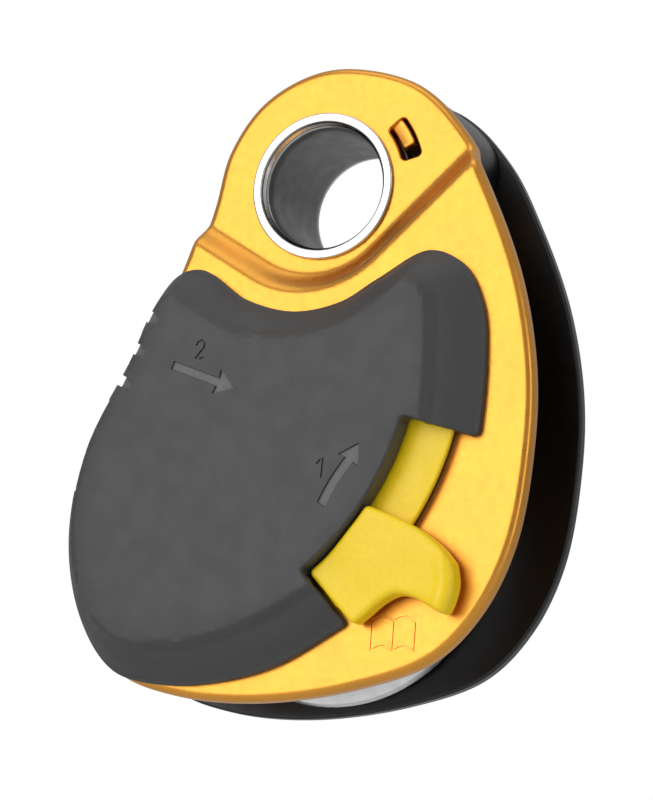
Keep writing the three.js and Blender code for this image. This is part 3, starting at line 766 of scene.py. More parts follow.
FINISHES = {
    # the second colour of each anodised finish is its painted rim highlight
    "gold_anodised": anodised(
        "gold_anodised", colour(0.80, 0.36, 0.045), colour(0.95, 0.68, 0.24), 0.3, 0.3),
    "black_anodised": anodised(
        "black_anodised", colour(0.025, 0.025, 0.027), colour(0.16, 0.16, 0.17), 0.36, 0.4),
    # the last colour given to each moulded finish is its painted edge highlight
    "black_plastic": moulded(
        "black_plastic", colour(0.049, 0.049, 0.05), 0.5, 0.22, 0.012, colour(0.09, 0.09, 0.09)),
    "black_plastic_smooth": moulded(
        "black_plastic_smooth", colour(0.13, 0.13, 0.13), 0.5, 0.4, 0.004, colour(0.16, 0.16, 0.16)),
    "yellow_plastic": moulded(
        "yellow_plastic", colour(0.99, 0.69, 0.004), 0.38, 0.5, 0.002, colour(1.0, 0.8, 0.2), 0.95),
    "polished_steel": machined("polished_steel", colour(0.66, 0.66, 0.66), 0.16),
    # painted shade: a darker copy of the polished steel, for the inside of the eye's bore
    "painted_shade_bore_steel": machined("painted_shade_bore_steel", colour(0.20, 0.20, 0.195), 0.34),
    "spring_steel": machined("spring_steel", colour(0.36, 0.37, 0.38), 0.36),
    "bare_aluminium": machined("bare_aluminium", colour(0.78, 0.79, 0.80), 0.28, 0.2, 0.004),
    "seal_rubber": moulded(
        "seal_rubber", colour(0.02, 0.02, 0.022), 0.6, 0.3, 0.006, colour(0.05, 0.05, 0.05)),
    "cage_brass": machined("cage_brass", colour(0.62, 0.45, 0.18), 0.3),
    "acetal": moulded("acetal", colour(0.78, 0.77, 0.72), 0.45, 0.4, 0.003, colour(0.9, 0.89, 0.85)),
}


# ---------------------------------------------------------------- side plates
PLATE_OUTLINE = [
    (2.3, 69.8), (13.8, 67), (22, 59.3), (27.4, 50), (33, 37), (36, 24), (36.5, 12.5), (34.8, -2),
    (30.5, -12), (23.8, -19.2), (12.2, -23.6), (-3.5, -26.1), (-16.9, -25.4), (-25.9, -22.4),
    (-32, -15), (-35.2, -3), (-33.6, 11), (-27.5, 24.5), (-21.2, 37.5), (-17.9, 48.5), (-16.1, 57),
    (-11.5, 64.3), (-4.7, 68.6)]


def joggle_reach(points):
    """Distance of points beyond the start of the front plate's step, which runs round the eye."""
    u, v = (points - JOGGLE_CENTRE).T
    bearing = np.degrees(np.arctan2(v, u)) % 360

    def along(degrees):
        return u * math.cos(math.radians(degrees)) + v * math.sin(math.radians(degrees))

    straight = np.maximum(along(JOGGLE_RIGHT_DEG), along(JOGGLE_LEFT_DEG))
    on_arc = (bearing > JOGGLE_LEFT_DEG) & (bearing < JOGGLE_RIGHT_DEG)
    return np.where(on_arc, np.hypot(u, v), straight) - JOGGLE_R


def joggle(points):
    return JOGGLE * smooth(joggle_reach(points), 0, JOGGLE_WIDTH)


def near_joggle(points):
    reach = joggle_reach(points)
    return (reach > -0.8) & (reach < JOGGLE_WIDTH + 0.8)


def plate_outline():
    return resampled(spline(PLATE_OUTLINE, 12), 0.8)


def axle_exit(half_width, back, front):
    """The path that the axle leaves along when the front side swings."""
    band = sector(EYE, EYE[1] - half_width, EYE[1] + half_width, AXLE_EXIT_DEG, 270)
    return plain_slab(band, back, front), pin(ORIGIN, half_width, back, front)


def book_mark():
    """Outline of an open book, as strokes: the sign for read the instructions first."""
    left, spine, right, top, bottom = 14.2, 17.75, 21.3, -13.5, -18.2
    rise, line = 0.55, 0.36

    def page(start, end, inset):
        low, high = start + inset, end - inset
        across = np.linspace(0, 1, 9)
        x = low + (high - low) * across
        bow = rise * np.sin(math.pi * across)
        upper = np.column_stack([x, top - inset + bow])
        lower = np.column_stack([x, bottom + inset + bow])[::-1]
        return upper, lower

    left_top, left_bottom = page(left, spine, 0)
    right_top, right_bottom = page(spine, right, 0)
    outside = np.vstack([left_top, right_top[1:], right_bottom, left_bottom[1:]])
    pages = [np.vstack(page(left, spine + line / 2, line)), np.vstack(page(spine - line / 2, right, line))]
    return [outside, *pages]


def stop_tab():
    """Tongue pressed inwards from the plate, which meets the spacer when the side is open."""
    inner, outer = STOP_INNER_R + 0.5, STOP_OUTER_R - 0.5
    loop = sector(EYE, inner, outer, *STOP_TAB_DEG, radius=0.5)
    back = span("front_side_plate")[1].y

    def front(points):
        out = np.hypot(*(points - EYE).T)
        return -(9.3 - 0.3 * smooth(outer - out, 0.4, 2.2))

    return slab([(loop, 0.35, 0.2)], front, back, spacing=0.5)


def front_side_plate():
    head_front = -BODY_FRONT - JOGGLE

    def front(points):
        return -(head_front + joggle(points))

    def back(points):
        return front(points) + PLATE_T

    rims = [
        (plate_outline(), 1.3, 0.4),
        (circle(EYE, BUSHING_R + GAP, 0.5), 0.4, 0.3),
        (sector(EYE, STOP_INNER_R, STOP_OUTER_R, *STOP_WINDOW_DEG, radius=0.7), 0.3, 0.2)]
    plate = as_object("gold_side_plate", slab(
        rims, front, back, [(book_mark(), 0.2, 0.06)], spacing=3.0, fine=0.7, detailed=near_joggle, steps=5))
    cut(plate, *axle_exit(NECK_R + 0.8, 0, IN_FRONT))
    for node in SCREW_NODES:
        head_back = depths(node)[1]
        cone = head_back - 0.3
        cut(plate, turned(axis_of(node), [
            (0, head_back + 1), (SCREW_HEAD_R + GAP, head_back + 1), (SCREW_HEAD_R + GAP, cone),
            (SCREW_R + GAP, cone - 1.8), (SCREW_R + GAP, IN_FRONT), (0, IN_FRONT)], 48))
    cut(plate, turned(PIVOT, [
        (0, -9), (PIN_HEAD_R + GAP, -9), (PIN_HEAD_R + GAP, -11.4), (PIN_R + GAP, -11.4),
        (PIN_R + GAP, IN_FRONT), (0, IN_FRONT)], 48))
    join(plate, stop_tab())
    return show(plate, "front_side_plate", "gold_anodised")


def rear_side_plate():
    rims = [
        (plate_outline(), 0.4, 1.1),
        (circle(EYE, BUSHING_R + GAP, 0.5), 0.3, 0.4),
        (circle(ORIGIN, AXLE_R + GAP, 0.5), 0.2, 0.2)]
    rims += [(circle(axis_of(node), RIVET_R + GAP, 0.4), 0.15, 0.15) for node in SPACER_RIVETS]
    plate = as_object("black_side_plate", slab(rims, *depths("rear_side_plate"), spacing=3.0, steps=5))
    return show(plate, "rear_side_plate", "black_anodised")


SPACER_OUTLINE = [
    (2.3, 69.5), (13.6, 66.7), (19.2, 62), (20.7, 58.6), (20.3, 54.5), (18.7, 48), (13.5, 40.8), (5, 37),
    (-4, 37), (-11.5, 39.8), (-16.6, 45), (-17.2, 50.5), (-15.8, 56.9), (-11.3, 64), (-4.6, 68.3)]


def head_spacer():
    front, back = depths("head_spacer")
    rims = [
        (resampled(spline(SPACER_OUTLINE, 12), 0.7), 0.5, 0.5),
        (circle(EYE, BUSHING_R + GAP, 0.5), 0.3, 0.3)]
    rims += [(circle(axis_of(node), RIVET_R + GAP, 0.4), 0, 0) for node in SPACER_RIVETS]
    spacer = as_object("spacer_block", slab(rims, front, back, spacing=2.5))
    path_deg = (STOP_TAB_DEG[0] - 4, STOP_TAB_DEG[1] + SWING_DEG + 2)
    groove = sector(EYE, STOP_INNER_R + 0.1, STOP_OUTER_R - 0.1, *path_deg, 0.4)
    cut(spacer, plain_slab(groove, -3.8, -8))
    for node in SPACER_RIVETS:
        cut(spacer, pin(axis_of(node), RIVET_HEAD_R + GAP, front + 1.6, -8))
    return show(spacer, "head_spacer", "black_anodised")


# ---------------------------------------------------------------- turned pieces
def show_turned(node, slot, corners, name=None):
    return show(as_object(name or f"turned_{node}", turned(axis_of(node), corners)), node, slot)


def eye_bushing():
    front, back = depths("eye_bushing")
    rim_r = radius_of("eye_bushing")
    step_r, mouth_r = BUSHING_BORE_R + 0.25, BUSHING_BORE_R + 0.7
    lip = 0.6

    def end(face, inwards):
        """Corners of one end: radius, y and the corner's own radius."""
        corners = [
            (BUSHING_BORE_R, 3.2, 0.4), (step_r, 1.6, 0.15), (step_r, 1.05, 0.1), (mouth_r, 0.45, 0.15),
            (mouth_r, 0, 0.25), (rim_r, 0, 0.28), (rim_r, lip, 0.1), (BUSHING_R, lip, 0)]
        return [(radius, face + inwards * depth, soft) for radius, depth, soft in corners]

    outline = end(front, 1) + end(back, -1)[::-1]
    bushing = as_object("eye_liner", turned(EYE, outline, 160))
    show(bushing, "eye_bushing", "polished_steel")
    # painted shade: the bore's faces take the darker copy of the steel
    bushing.data.materials.append(FINISHES["painted_shade_bore_steel"])
    for face in bushing.data.polygons:
        at = (face.center - DRAWING_ORIGIN) / MM
        if math.hypot(at.x - EYE[0], at.z - EYE[1]) < BUSHING_BORE_R + 0.2:
            face.material_index = 1
    return bushing


def axle():
    front, back = depths("axle")
    head_back = -15.0
    shoulder = -9.8
    rear_head = back - 1.5
    return show_turned("axle", "polished_steel", [
        (0, front), (AXLE_HEAD_R, front, 0.8), (AXLE_HEAD_R, head_back, 0.2), (NECK_R, head_back),
        (NECK_R, shoulder, 0.2), (AXLE_R, shoulder, 0.4), (AXLE_R, rear_head), (8, rear_head, 0.25),
        (7.7, rear_head + 0.9, 0.3), (6.9, back, 0.35), (2.4, back, 0.15), (1.6, back - 0.5, 0.2),
        (0, back - 0.6)])


def spacer_rivets():
    for node in SPACER_RIVETS:
        front, back = depths(node)
        show_turned(node, "polished_steel", [
            (0, front), (RIVET_HEAD_R, front, 0.3), (RIVET_HEAD_R, front + 1.2), (RIVET_R, front + 1.2),
            (RIVET_R, back - 1.0), (RIVET_HEAD_R, back - 1.0, 0.2), (RIVET_HEAD_R - 0.1, back - 0.6, 0.3),
            (1.5, back - 0.1, 0.4), (0, back)])


def plain_rings():
    """The washer and the axle's spacers: plain rings with softened corners."""
    def rectangle(node, bore, slot, soft):
        front, back = depths(node)
        outer = radius_of(node)
        show_turned(node, slot, [
            (bore, front, soft), (outer, front, soft), (outer, back, soft), (bore, back, soft)])

    rectangle("pivot_washer", BUSHING_R + 0.35, "acetal", 0.1)
    for end in ("front", "rear"):
        rectangle(f"{end}_axle_spacer", AXLE_R + 0.2, "polished_steel", 0.3)


RACE_R = BALL_R + GAP


def race(node, shoulder, wall, side):
    """A bearing ring. side is -1 for the inner one, whose groove faces out, and 1 for the outer one."""
    front, back = depths(node)
    middle_y = (front + back) / 2
    half = math.acos(abs(shoulder - BALL_PITCH_R) / RACE_R)
    groove = [
        (BALL_PITCH_R + side * RACE_R * math.cos(a), middle_y + RACE_R * math.sin(a))
        for a in np.linspace(-half, half, 13)]
    show_turned(node, "polished_steel", [
        (wall, front, 0.35), (shoulder, front, 0.2), *groove, (shoulder, back, 0.2), (wall, back, 0.35)])


def seals():
    for end, side in (("front", -1), ("rear", 1)):
        outer_face, inner_face = depths(f"{end}_bearing_seal")[::-side]
        step = -side * 0.25
        show_turned(f"{end}_bearing_seal", "seal_rubber", [
            (8.95, outer_face, 0.1), (9.6, outer_face, 0.1), (9.8, outer_face + step, 0.1),
            (11.0, outer_face + step, 0.1), (11.2, outer_face, 0.1), (11.9, outer_face, 0.1),
            (11.9, inner_face, 0.1), (8.95, inner_face, 0.1)])


def balls():
    for i, node in enumerate(BALLS, 1):
        shape = bmesh.new()
        bmesh.ops.create_icosphere(shape, subdivisions=4, radius=BALL_R * MM)
        bmesh.ops.translate(shape, verts=shape.verts, vec=middle(node))
        mesh = bpy.data.meshes.new(f"steel_ball_{i}")
        shape.to_mesh(mesh)
        shape.free()
        show(linked(mesh.name, mesh), node, "polished_steel")


def bearing_cage():
    front, back = depths("bearing_cage")
    inner, outer = BALL_PITCH_R - 0.6, BALL_PITCH_R + 0.6
    cage = as_object("ball_cage", turned(ORIGIN, [
        (inner, front, 0.2), (outer, front, 0.2), (outer, back, 0.2), (inner, back, 0.2)], 128))
    for node in BALLS:
        at = (middle(node) - DRAWING_ORIGIN) / MM
        outward = Vector((at.x, 0, at.z)).normalized()
        cut(cage, tube([at - outward * 3, at, at + outward * 3], RACE_R, 36))
    return show(cage, "bearing_cage", "cage_brass")


def sheave():
    front, back = depths("sheave")
    middle_y, half = (front + back) / 2, (back - front) / 2
    flange_r = radius_of("sheave")
    bore, bore_half = 14.25, 6.0
    tread, groove_r = 19.0, 6.8
    centre_r = tread + groove_r
    turn = math.acos((centre_r - flange_r + 0.4) / groove_r)
    groove = [
        (centre_r - groove_r * math.cos(a), groove_r * math.sin(a)) for a in np.linspace(-turn, turn, 25)]
    profile = [
        (bore, -bore_half, 0.3), (17, -bore_half, 0.8), (21.5, -half, 0.8), (flange_r - 0.6, -half, 0.3),
        (flange_r, -half + 0.7, 0.3), *groove, (flange_r, half - 0.7, 0.3), (flange_r - 0.6, half, 0.3),
        (21.5, half, 0.8), (17, bore_half, 0.8), (bore - 1, bore_half, 0.2), (bore - 1, 4.7), (bore, 4.7),
        (bore, -4.7), (bore + 0.9, -4.7), (bore + 0.9, -5.7), (bore, -5.7)]
    profile = [(radius, y + middle_y, *corner) for radius, y, *corner in profile]
    return show_turned("sheave", "bare_aluminium", profile, "rope_sheave")


def bearing_circlip():
    ring = sector(ORIGIN, 12.9, 14.85, 285, 615, 0.5)
    clip = slab([(ring, 0.12, 0.12)], *depths("bearing_circlip"), spacing=0.9, steps=2)
    return show(as_object("retaining_ring", clip), "bearing_circlip", "spring_steel")


def screws():
    for i, node in enumerate(SCREW_NODES, 1):
        tip, head = depths(node)
        screw = as_object(f"countersunk_screw_{i}", turned(axis_of(node), [
            (0, head), (SCREW_HEAD_R, head, 0.15), (SCREW_HEAD_R, head - 0.3, 0.1),
            (SCREW_R, head - 1.8, 0.1), (SCREW_R, tip + 0.5, 0.3), (0, tip)], 48))
        for turn in (0, 90):
            at = (axis_of(node)[0], head, axis_of(node)[1])
            cut(screw, box_solid(at, (3.0, 1.4, 0.6), 20 * i + turn))
        show(screw, node, "polished_steel")


# ---------------------------------------------------------------- cover
# Each pair is a point of the cover's foot, on the plate, and the point of the face's edge above it.
COVER_RIM = [
    ((19.5, 40.6), (17.6, 35.6)), ((25, 38.4), (20.2, 34.1)), ((28.3, 32.5), (21.4, 31)),
    ((29.3, 25), (21.9, 26)), ((29.1, 14), (21.9, 15.5)), ((27.5, 2), (20.5, 4)),
    ((21.5, -8), (15.5, -3.5)), ((10.1, -14.9), (6.5, -9.8)), ((0, -20.9), (-1.8, -14.6)),
    ((-8.4, -23.4), (-9.1, -17.5)), ((-17, -24.2), (-16.2, -18.7)), ((-25.8, -22.4), (-23.9, -18.2)),
    ((-31.8, -15), (-29.4, -13)), ((-35, -3), (-32.3, -2.5)), ((-33.4, 11), (-30.8, 10)),
    ((-27.2, 24.5), (-24.9, 23)), ((-24.4, 31.8), (-22.4, 29.6)), ((-20.4, 37.2), (-19.9, 33.3)),
    ((-16.6, 38), (-15.6, 31.3)), ((-9.3, 33.5), (-9.1, 28)), ((-1.4, 31.6), (-0.9, 26.9)),
    ((6, 33), (8.1, 29.2)), ((11.6, 36.4), (14.2, 33))]
FOOT_WALL = 1.3
CREASE_STEP = 0.85
CREASE_WIDTH = 0.9
SIDE_BULGE = 0.57
FACE_ROLL = 0.45
FACE_ROLL_WIDTH = 4.0


def with_notch(loop, radii, inner=NOTCH_INNER_R):
    """A loop round the cover with the button's opening taken out of it."""
    loop = turning(loop)
    out = loop - PIVOT
    radius = np.hypot(*out.T)
    degrees = np.degrees(np.arctan2(out[:, 1], out[:, 0]))
    open_here = (radius > inner) & (degrees > NOTCH_DEG[0]) & (degrees < NOTCH_DEG[1])
    first = next(i for i in range(len(loop)) if open_here[i - 1] and not open_here[i])
    loop, radius, degrees, open_here = (
        np.roll(values, -first, axis=0) for values in (loop, radius, degrees, open_here))
    last = len(loop) - int(open_here.sum()) - 1
    top_r = np.interp(NOTCH_DEG[1], degrees[[-1, 0]], radius[[-1, 0]])
    low_r = np.interp(NOTCH_DEG[0], degrees[[last, last + 1]], radius[[last, last + 1]])
    top, low = polar(PIVOT, top_r, NOTCH_DEG[1]), polar(PIVOT, low_r, NOTCH_DEG[0])
    runs = [
        np.vstack([[top], loop[:last + 1], [low]]),
        straight(low, polar(PIVOT, inner, NOTCH_DEG[0])),
        arc(PIVOT, inner, *NOTCH_DEG),
        straight(polar(PIVOT, inner, NOTCH_DEG[1]), top)]
    return rounded_loop(runs, radii)


FOOT = resampled(spline([foot for foot, _ in COVER_RIM], 12), 0.7)
CREASE = resampled(spline([face for _, face in COVER_RIM], 12), 0.7)
FACE_EDGE = with_notch(CREASE, [0.6, 0.6, 0.6, 0.6])


def outside_crease(points):
    far = distance(points, CREASE)
    return np.where(is_inside(points, [CREASE]), -far, far)


def cover_front(points):
    out = outside_crease(points)
    width = np.maximum(distance(points, FOOT) + out, 0.5)
    share = np.clip(1 - out / width, 0, 1)
    rise = share + SIDE_BULGE * share * (1 - share)
    height = COVER_BACK - FOOT_WALL - COVER_FRONT
    side = CREASE_STEP * smooth(out, -0.1, CREASE_WIDTH) + (height - CREASE_STEP) * (1 - rise)
    edge = np.clip(1 - distance(points, FACE_EDGE) / FACE_ROLL_WIDTH, 0, 1)
    roll = FACE_ROLL * np.where(out < 0, edge**2, 1)
    return COVER_FRONT + np.minimum(side + roll, height)


def cover_detail(points):
    return outside_crease(points) > -1.0


def arrow(tail, tip, width, head_length, head_width, bow):
    """An arrow that bows to its left by this much."""
    tail, tip = np.array(tail, float), np.array(tip, float)
    along = (tip - tail) / np.linalg.norm(tip - tail)
    left = np.array([-along[1], along[0]])
    length = np.linalg.norm(tip - tail) - head_length
    share = np.linspace(0, 1, 9)[:, None]
    shaft = tail + along * length * share + left * bow * 4 * share * (1 - share)
    upper, lower = shaft + left * width / 2, shaft - left * width / 2
    back = tail + along * (length - 0.15)
    return turning(np.vstack([
        lower, [back - left * head_width / 2], [tip], [back + left * head_width / 2], upper[::-1]]))


def numeral(points):
    return stroke(points, 0.34)


def cover_marks():
    two = numeral([
        (-14.15, 25.35), (-13.85, 25.95), (-13.3, 26.2), (-12.75, 25.8), (-12.85, 25.1), (-13.5, 24.3),
        (-14.1, 23.4)])
    two_base = numeral([(-13.5, 23.45), (-12.7, 23.55)])
    one = numeral([(7.35, 5.9), (7.4, 7.3), (7.45, 8.8)])
    one_flag = numeral([(6.45, 7.9), (7.1, 8.6)])
    return [
        ([arrow((-17.8, 22.5), (-7.6, 19.05), 1.35, 2.9, 3.9, 0.0)], 0.35, 0.1),
        ([arrow((7.6, 1.95), (12.8, 11.1), 1.5, 2.9, 3.8, 0.25)], 0.35, 0.1),
        ([two], 0.3, 0.05), ([two_base], 0.3, 0.05), ([one], 0.3, 0.05), ([one_flag], 0.3, 0.05)]


FINGER_NOTCHES = [(-20.9, 29.2), (-22.6, 24.3), (-24.4, 19.4)]
FINGER_TURN_DEG = -24


def finger_notch(inner_end, wall=0.0, roof=0.0):
    """A step with a sloping tread in the cover's left edge, grown by a wall and a roof."""
    angle = math.radians(FINGER_TURN_DEG)
    inward = np.array([math.cos(angle), math.sin(angle)])
    across = np.array([-inward[1], inward[0]])
    half, tread, fall, beyond = 0.87 + wall, 2.0 - wall, 0.3, -6.0
    front, floor, back = COVER_FRONT - 3, COVER_FRONT + 1.1 + roof, COVER_BACK + 2
    profile = [
        (wall, front), (wall, floor), (-tread, floor + fall * tread), (-tread, back), (beyond, back),
        (beyond, front)]
    solid = Solid()
    for side in (-half, half):
        for along, y in profile:
            x, z = np.array(inner_end) + inward * along + across * side
            solid.vertices.append((x, y, z))
    count = len(profile)
    solid.faces = [tuple(range(count)), tuple(range(2 * count - 1, count - 1, -1))]
    solid.faces += [(k, k + count, (k + 1) % count + count, (k + 1) % count) for k in range(count)]
    return solid


def cover_hollow():
    """The space inside the cover, which leaves its walls, screw posts and notch floors."""
    inside = turning(with_notch(shifted(turning(FOOT), COVER_WALL), [0.5] * 4, NOTCH_INNER_R - COVER_WALL))

    def roof(points):
        return cover_front(points) + COVER_WALL

    hollow = as_object("hollow", slab([(inside, 0, 0)], roof, COVER_BACK + 1, spacing=2.2))
    for node in SCREW_NODES:
        cut(hollow, pin(axis_of(node), COVER_POST_R, COVER_BACK + 2, COVER_FRONT - 1, 40))
    cut(hollow, *[finger_notch(at, 0.2, 0.6) for at in FINGER_NOTCHES])
    return hollow


def polish_marks(cover):
    """Gives the sunk floors of the arrows and finger notches their smoother finish."""
    cover.data.materials.append(FINISHES["black_plastic_smooth"])
    arrows = [loops[0] for loops, _, _ in cover_marks()[:2]]
    faces = cover.data.polygons
    centres = np.array([(face.center - DRAWING_ORIGIN) / MM for face in faces])
    facing = np.array([face.normal.y < -0.3 for face in faces])
    spots = centres[:, [0, 2]]
    near_notch = np.min([np.hypot(*(spots - end).T) for end in FINGER_NOTCHES], axis=0) < 6.0
    marked = facing & (near_notch | is_inside(spots, arrows))
    for i in np.flatnonzero(marked):
        if centres[i, 1] - cover_front(spots[i:i + 1])[0] > 0.2:
            faces[int(i)].material_index = 1


def front_cover():
    outline = with_notch(FOOT, [1.0, 0.8, 0.5, 0.5])
    cover = as_object("moulded_cover", slab(
        [(outline, 0.35, 0)], cover_front, COVER_BACK, cover_marks(), spacing=1.6, fine=0.7,
        detailed=cover_detail, steps=4))
    cut(cover, cover_hollow())
    for node in SCREW_NODES:
        cut(cover, pin(axis_of(node), SCREW_R + 0.2, COVER_BACK + 2, depths(node)[0] - 0.2, 24))
    cut(cover, *[finger_notch(at) for at in FINGER_NOTCHES])
    open_deg = STRIP_TOP_DEG + BUTTON_TRAVEL_DEG + 1
    strip_path = sector(PIVOT, STRIP_INNER_R - 0.6, STRIP_OUTER_R + 0.3, -51, open_deg)
    arm_path = sector(PIVOT, 8, STRIP_OUTER_R, -51, 8)
    cut(cover, plain_slab(strip_path, -10, STRIP_FRONT - 0.3), plain_slab(arm_path, -10, -14.5))
    cut(cover, *axle_exit(AXLE_HEAD_R + 0.5, -8, -17.7))
    show(cover, "front_cover", "black_plastic")
    polish_marks(cover)
    return cover


# ---------------------------------------------------------------- latch
def curve(points, spacing=0.5):
    """An open smooth line through the points."""
    line = [np.array(p, float) for p in points]
    line = [2 * line[0] - line[1], *line, 2 * line[-1] - line[-2]]
    smooth_line = []
    for p0, p1, p2, p3 in zip(line, line[1:], line[2:], line[3:]):
        for t in np.arange(10) / 10:
            smooth_line.append(0.5 * (
                2 * p1 + (p2 - p0) * t + (2 * p0 - 5 * p1 + 4 * p2 - p3) * t**2
                + (3 * p1 - p0 - 3 * p2 + p3) * t**3))
    return resampled(np.vstack([smooth_line, line[-2:-1]]), spacing, closed=False)


TAB_TOP = [(13.6, 2.6), (18.0, 0.9), (22.0, -0.9), (25.4, -3.3), (27.6, -5.7)]
TAB_END = [(27.6, -5.7), (28.1, -8.5), (27.7, -11.0), (26.8, -13.3)]
TAB_SCALLOP = [
    (26.8, -13.3), (24.5, -12.1), (22.2, -10.9), (19.4, -10.4), (17.0, -11.5), (15.0, -13.2),
    (12.9, -15.0)]
TAB_INNER_R = NOTCH_INNER_R + GAP


def tab_outline():
    low = polar(PIVOT, TAB_INNER_R, STRIP_LOW_DEG)
    top_deg = math.degrees(math.atan2(TAB_TOP[0][1] - PIVOT[1], TAB_TOP[0][0] - PIVOT[0]))
    top_start = polar(PIVOT, TAB_INNER_R, top_deg)
    top = curve([top_start, *TAB_TOP[1:]])
    foot = straight(TAB_SCALLOP[-1], low, 0.5)
    side = arc(PIVOT, TAB_INNER_R, STRIP_LOW_DEG, top_deg, 0.5)
    return turning(rounded_loop(
        [top, curve(TAB_END), curve(TAB_SCALLOP), foot, side], [1.0, 1.3, 0.9, 0.9, 0.9], steps=8))


def tab_front(points):
    """A thumb rest: hollow towards its lower left, with a ridge before its outer end."""
    end = distance(points, np.array(TAB_END), closed=False)
    scallop = distance(points, np.array(TAB_SCALLOP), closed=False)
    slope = np.clip(1 - end / 1.2, 0, 1)
    ridge = np.exp(-((end - 1.5) / 0.8) ** 2)
    out = points - PIVOT
    radius = np.hypot(*out.T)
    degrees = np.degrees(np.arctan2(out[:, 1], out[:, 0]))
    hollow = smooth(-40.5 - degrees, -3.5, 6.5) * smooth(56 - radius, 0, 8)
    palm = np.exp(-((radius - 53) / 4.5) ** 2 - ((degrees + 37.5) / 4.0) ** 2)
    lip = np.clip(1 - scallop / 2.2, 0, 1)
    dips = 0.5 * slope**1.6 + 0.9 * hollow + 0.45 * palm + 0.35 * lip**2
    return BUTTON_FRONT + 0.25 + dips - 0.25 * ridge


def strip_front(points):
    radius = np.hypot(*(points - PIVOT).T)
    across = (radius - (STRIP_INNER_R + STRIP_OUTER_R) / 2) / ((STRIP_OUTER_R - STRIP_INNER_R) / 2)
    return STRIP_FRONT + 0.3 * across**2


RIVET_HOLE_R = 1.25


def latch_button():
    strip_loop = sector(PIVOT, STRIP_INNER_R, STRIP_OUTER_R, STRIP_LOW_DEG, STRIP_TOP_DEG, 0.6)
    strip = slab([(turning(strip_loop), 0.3, 0.1)], strip_front, BUTTON_BACK, spacing=0.9)
    button = as_object("thumb_button", strip)
    join(button, slab([(tab_outline(), 0.7, 0.2)], tab_front, BUTTON_BACK, spacing=0.55, steps=5))
    for node in BUTTON_RIVETS:
        cut(button, pin(axis_of(node), RIVET_HOLE_R, BEHIND_LEVER, -16.6, 32))
    return show(button, "latch_button", "yellow_plastic")


def latch_lever():
    hub_r = 3.2
    arm = polygon([
        polar(PIVOT, hub_r - 0.2, 50), polar(PIVOT, 42.5, -18), polar(PIVOT, 42.5, -30),
        polar(PIVOT, 21, -36), (-3.4, 5.6), (-8.6, 5.6), polar(PIVOT, 14, -42),
        polar(PIVOT, hub_r - 0.2, -100)],
        [0, 0, 0, 2.0, 0.6, 0.6, 2.0, 0])
    carrier = sector(PIVOT, STRIP_INNER_R + 0.2, STRIP_OUTER_R - 0.3, -49.5, -9, 0.8)
    sheets = [
        slab([(loop, 0.12, 0.12)], *depths("latch_lever"), steps=2)
        for loop in (arm, carrier, circle(PIVOT, hub_r))]
    lever = as_object("catch_lever", sheets[0])
    join(lever, *sheets[1:])
    cut(lever, pin(PIVOT, PIN_R + 0.15, BEHIND_LEVER, -16))
    for node in BUTTON_RIVETS:
        cut(lever, pin(axis_of(node), RIVET_HOLE_R, BEHIND_LEVER, -16, 32))
    return show(lever, "latch_lever", "spring_steel")


def latch_pins():
    tip, head = depths("latch_pivot_pin")
    show_turned("latch_pivot_pin", "polished_steel", [
        (0, head), (PIN_HEAD_R, head, 0.2), (PIN_HEAD_R, head - 0.9, 0.1), (PIN_R, head - 0.9),
        (PIN_R, tip + 0.4, 0.4), (0, tip)])
    for node in BUTTON_RIVETS:
        front, back = depths(node)
        show_turned(node, "polished_steel", [(0, back), (1, back, 0.15), (1, front, 0.15), (0, front)])


def latch_spring():
    """Torsion spring round the pivot pin, with one leg on the cover and one on the lever."""
    wire_r, coil_r, turns, pitch, start_deg = 0.4, 2.9, 1.5, 0.9, 60
    first_y = depths("latch_spring")[1] - wire_r
    angles = np.radians(np.linspace(0, 360 * turns, 91) + start_deg)
    coil = []
    for a in angles:
        x, z = PIVOT + coil_r * np.array([math.cos(a), math.sin(a)])
        coil.append((x, first_y - pitch * (a - angles[0]) / (2 * math.pi), z))

    def leg(at, angle, length, sign):
        direction = Vector((-math.sin(angle), 0, math.cos(angle))) * sign
        return [tuple(Vector(at) + direction * length * k / 10) for k in range(1, 11)]

    path = leg(coil[0], angles[0], 7, -1)[::-1] + coil + leg(coil[-1], angles[-1], 5, 1)
    return show(as_object("torsion_spring", tube(path, wire_r)), "latch_spring", "spring_steel")


# ---------------------------------------------------------------- stage
def stage_floor():
    bpy.ops.mesh.primitive_plane_add(size=12, location=(0, 0, -0.16))
    floor = bpy.context.object
    floor.name = "floor"
    shader = Shader("pale_floor")
    shader.set(
        Base_Color=shader.mix(shader.noise(300, 2), colour(0.80, 0.80, 0.80), colour(0.84, 0.84, 0.84)),
        Roughness=0.75)
    floor.data.materials.append(shader.material)


CAMERA_TARGET = DRAWING_ORIGIN + Vector((-1.1, 0, 21.0)) * MM
CAMERA_AZIMUTH = 23.3
CAMERA_ELEVATION = -9.94
CAMERA_ROLL = 4.37
CAMERA_DISTANCE = 0.607


def towards(azimuth, elevation):
    """Direction from the object to a viewer or lamp. Azimuth 0 is the front, -Y."""
    a, e = math.radians(azimuth), math.radians(elevation)
    return Vector((math.sin(a) * math.cos(e), -math.cos(a) * math.cos(e), math.sin(e)))


def camera():
    data = bpy.data.cameras.new("camera")
    data.sensor_width = 36
    data.lens = 182.25
    data.clip_start, data.clip_end = 0.01, 50
    obj = linked("camera", data)
    back = towards(CAMERA_AZIMUTH, CAMERA_ELEVATION)
    obj.location = CAMERA_TARGET + back * CAMERA_DISTANCE
    obj.rotation_mode = "QUATERNION"
    facing = back.to_track_quat("Z", "Y")
    obj.rotation_quaternion = facing @ Quaternion((0, 0, 1), math.radians(CAMERA_ROLL))
    bpy.context.scene.camera = obj


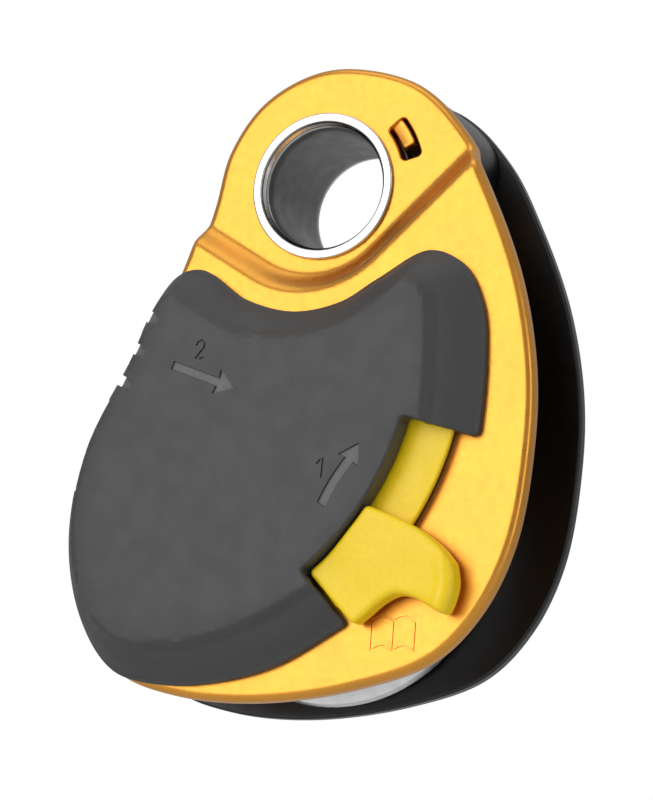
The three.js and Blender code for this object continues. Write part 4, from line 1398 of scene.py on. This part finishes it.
def softbox(name, azimuth, elevation, away, size, power):
    data = bpy.data.lights.new(name, "AREA")
    data.shape = "RECTANGLE"
    data.size, data.size_y = size
    data.energy = power
    lamp = linked(name, data)
    direction = towards(azimuth, elevation)
    lamp.location = CAMERA_TARGET + direction * away
    lamp.rotation_mode = "QUATERNION"
    lamp.rotation_quaternion = direction.to_track_quat("Z", "Y")
    lamp.visible_camera = False


def studio():
    """A white room to the camera, and a grey one with a bright ceiling to everything else."""
    world = bpy.data.worlds.new("studio")
    bpy.context.scene.world = world
    world.use_nodes = True
    nodes, links = world.node_tree.nodes, world.node_tree.links
    output = nodes["World Output"]
    room = nodes["Background"]
    paper = nodes.new("ShaderNodeBackground")
    paper.inputs["Color"].default_value = (1, 1, 1, 1)
    direction = nodes.new("ShaderNodeTexCoord").outputs["Generated"]
    parts = nodes.new("ShaderNodeSeparateXYZ")
    links.new(direction, parts.inputs["Vector"])
    shade = nodes.new("ShaderNodeMapRange")
    for socket, value in (("From Min", -1.0), ("From Max", 1.0), ("To Min", 0.1), ("To Max", 0.55)):
        shade.inputs[socket].default_value = value
    links.new(parts.outputs["Z"], shade.inputs["Value"])
    links.new(shade.outputs["Result"], room.inputs["Strength"])
    room.inputs["Color"].default_value = (1, 1, 1, 1)
    seen = nodes.new("ShaderNodeLightPath").outputs["Is Camera Ray"]
    choose = nodes.new("ShaderNodeMixShader")
    links.new(seen, choose.inputs[0])
    links.new(room.outputs[0], choose.inputs[1])
    links.new(paper.outputs[0], choose.inputs[2])
    links.new(choose.outputs[0], output.inputs["Surface"])

    softbox("key", -17, 8, 0.7, (0.6, 0.8), 3.0)
    softbox("top", 0, 75, 0.7, (0.6, 0.4), 0.6)
    softbox("right_strip", 75, 5, 0.8, (0.15, 0.7), 0.7)

    view = bpy.context.scene.view_settings
    view.view_transform = "Standard"
    view.look = "None"


front_side_plate()
rear_side_plate()
head_spacer()
eye_bushing()
axle()
spacer_rivets()
plain_rings()
race("bearing_inner_ring", 8.7, 5.2, -1)
race("bearing_outer_ring", 12.1, 14.0, 1)
seals()
balls()
bearing_cage()
sheave()
bearing_circlip()
screws()
front_cover()
latch_button()
latch_lever()
latch_pins()
latch_spring()
stage_floor()
camera()
studio()
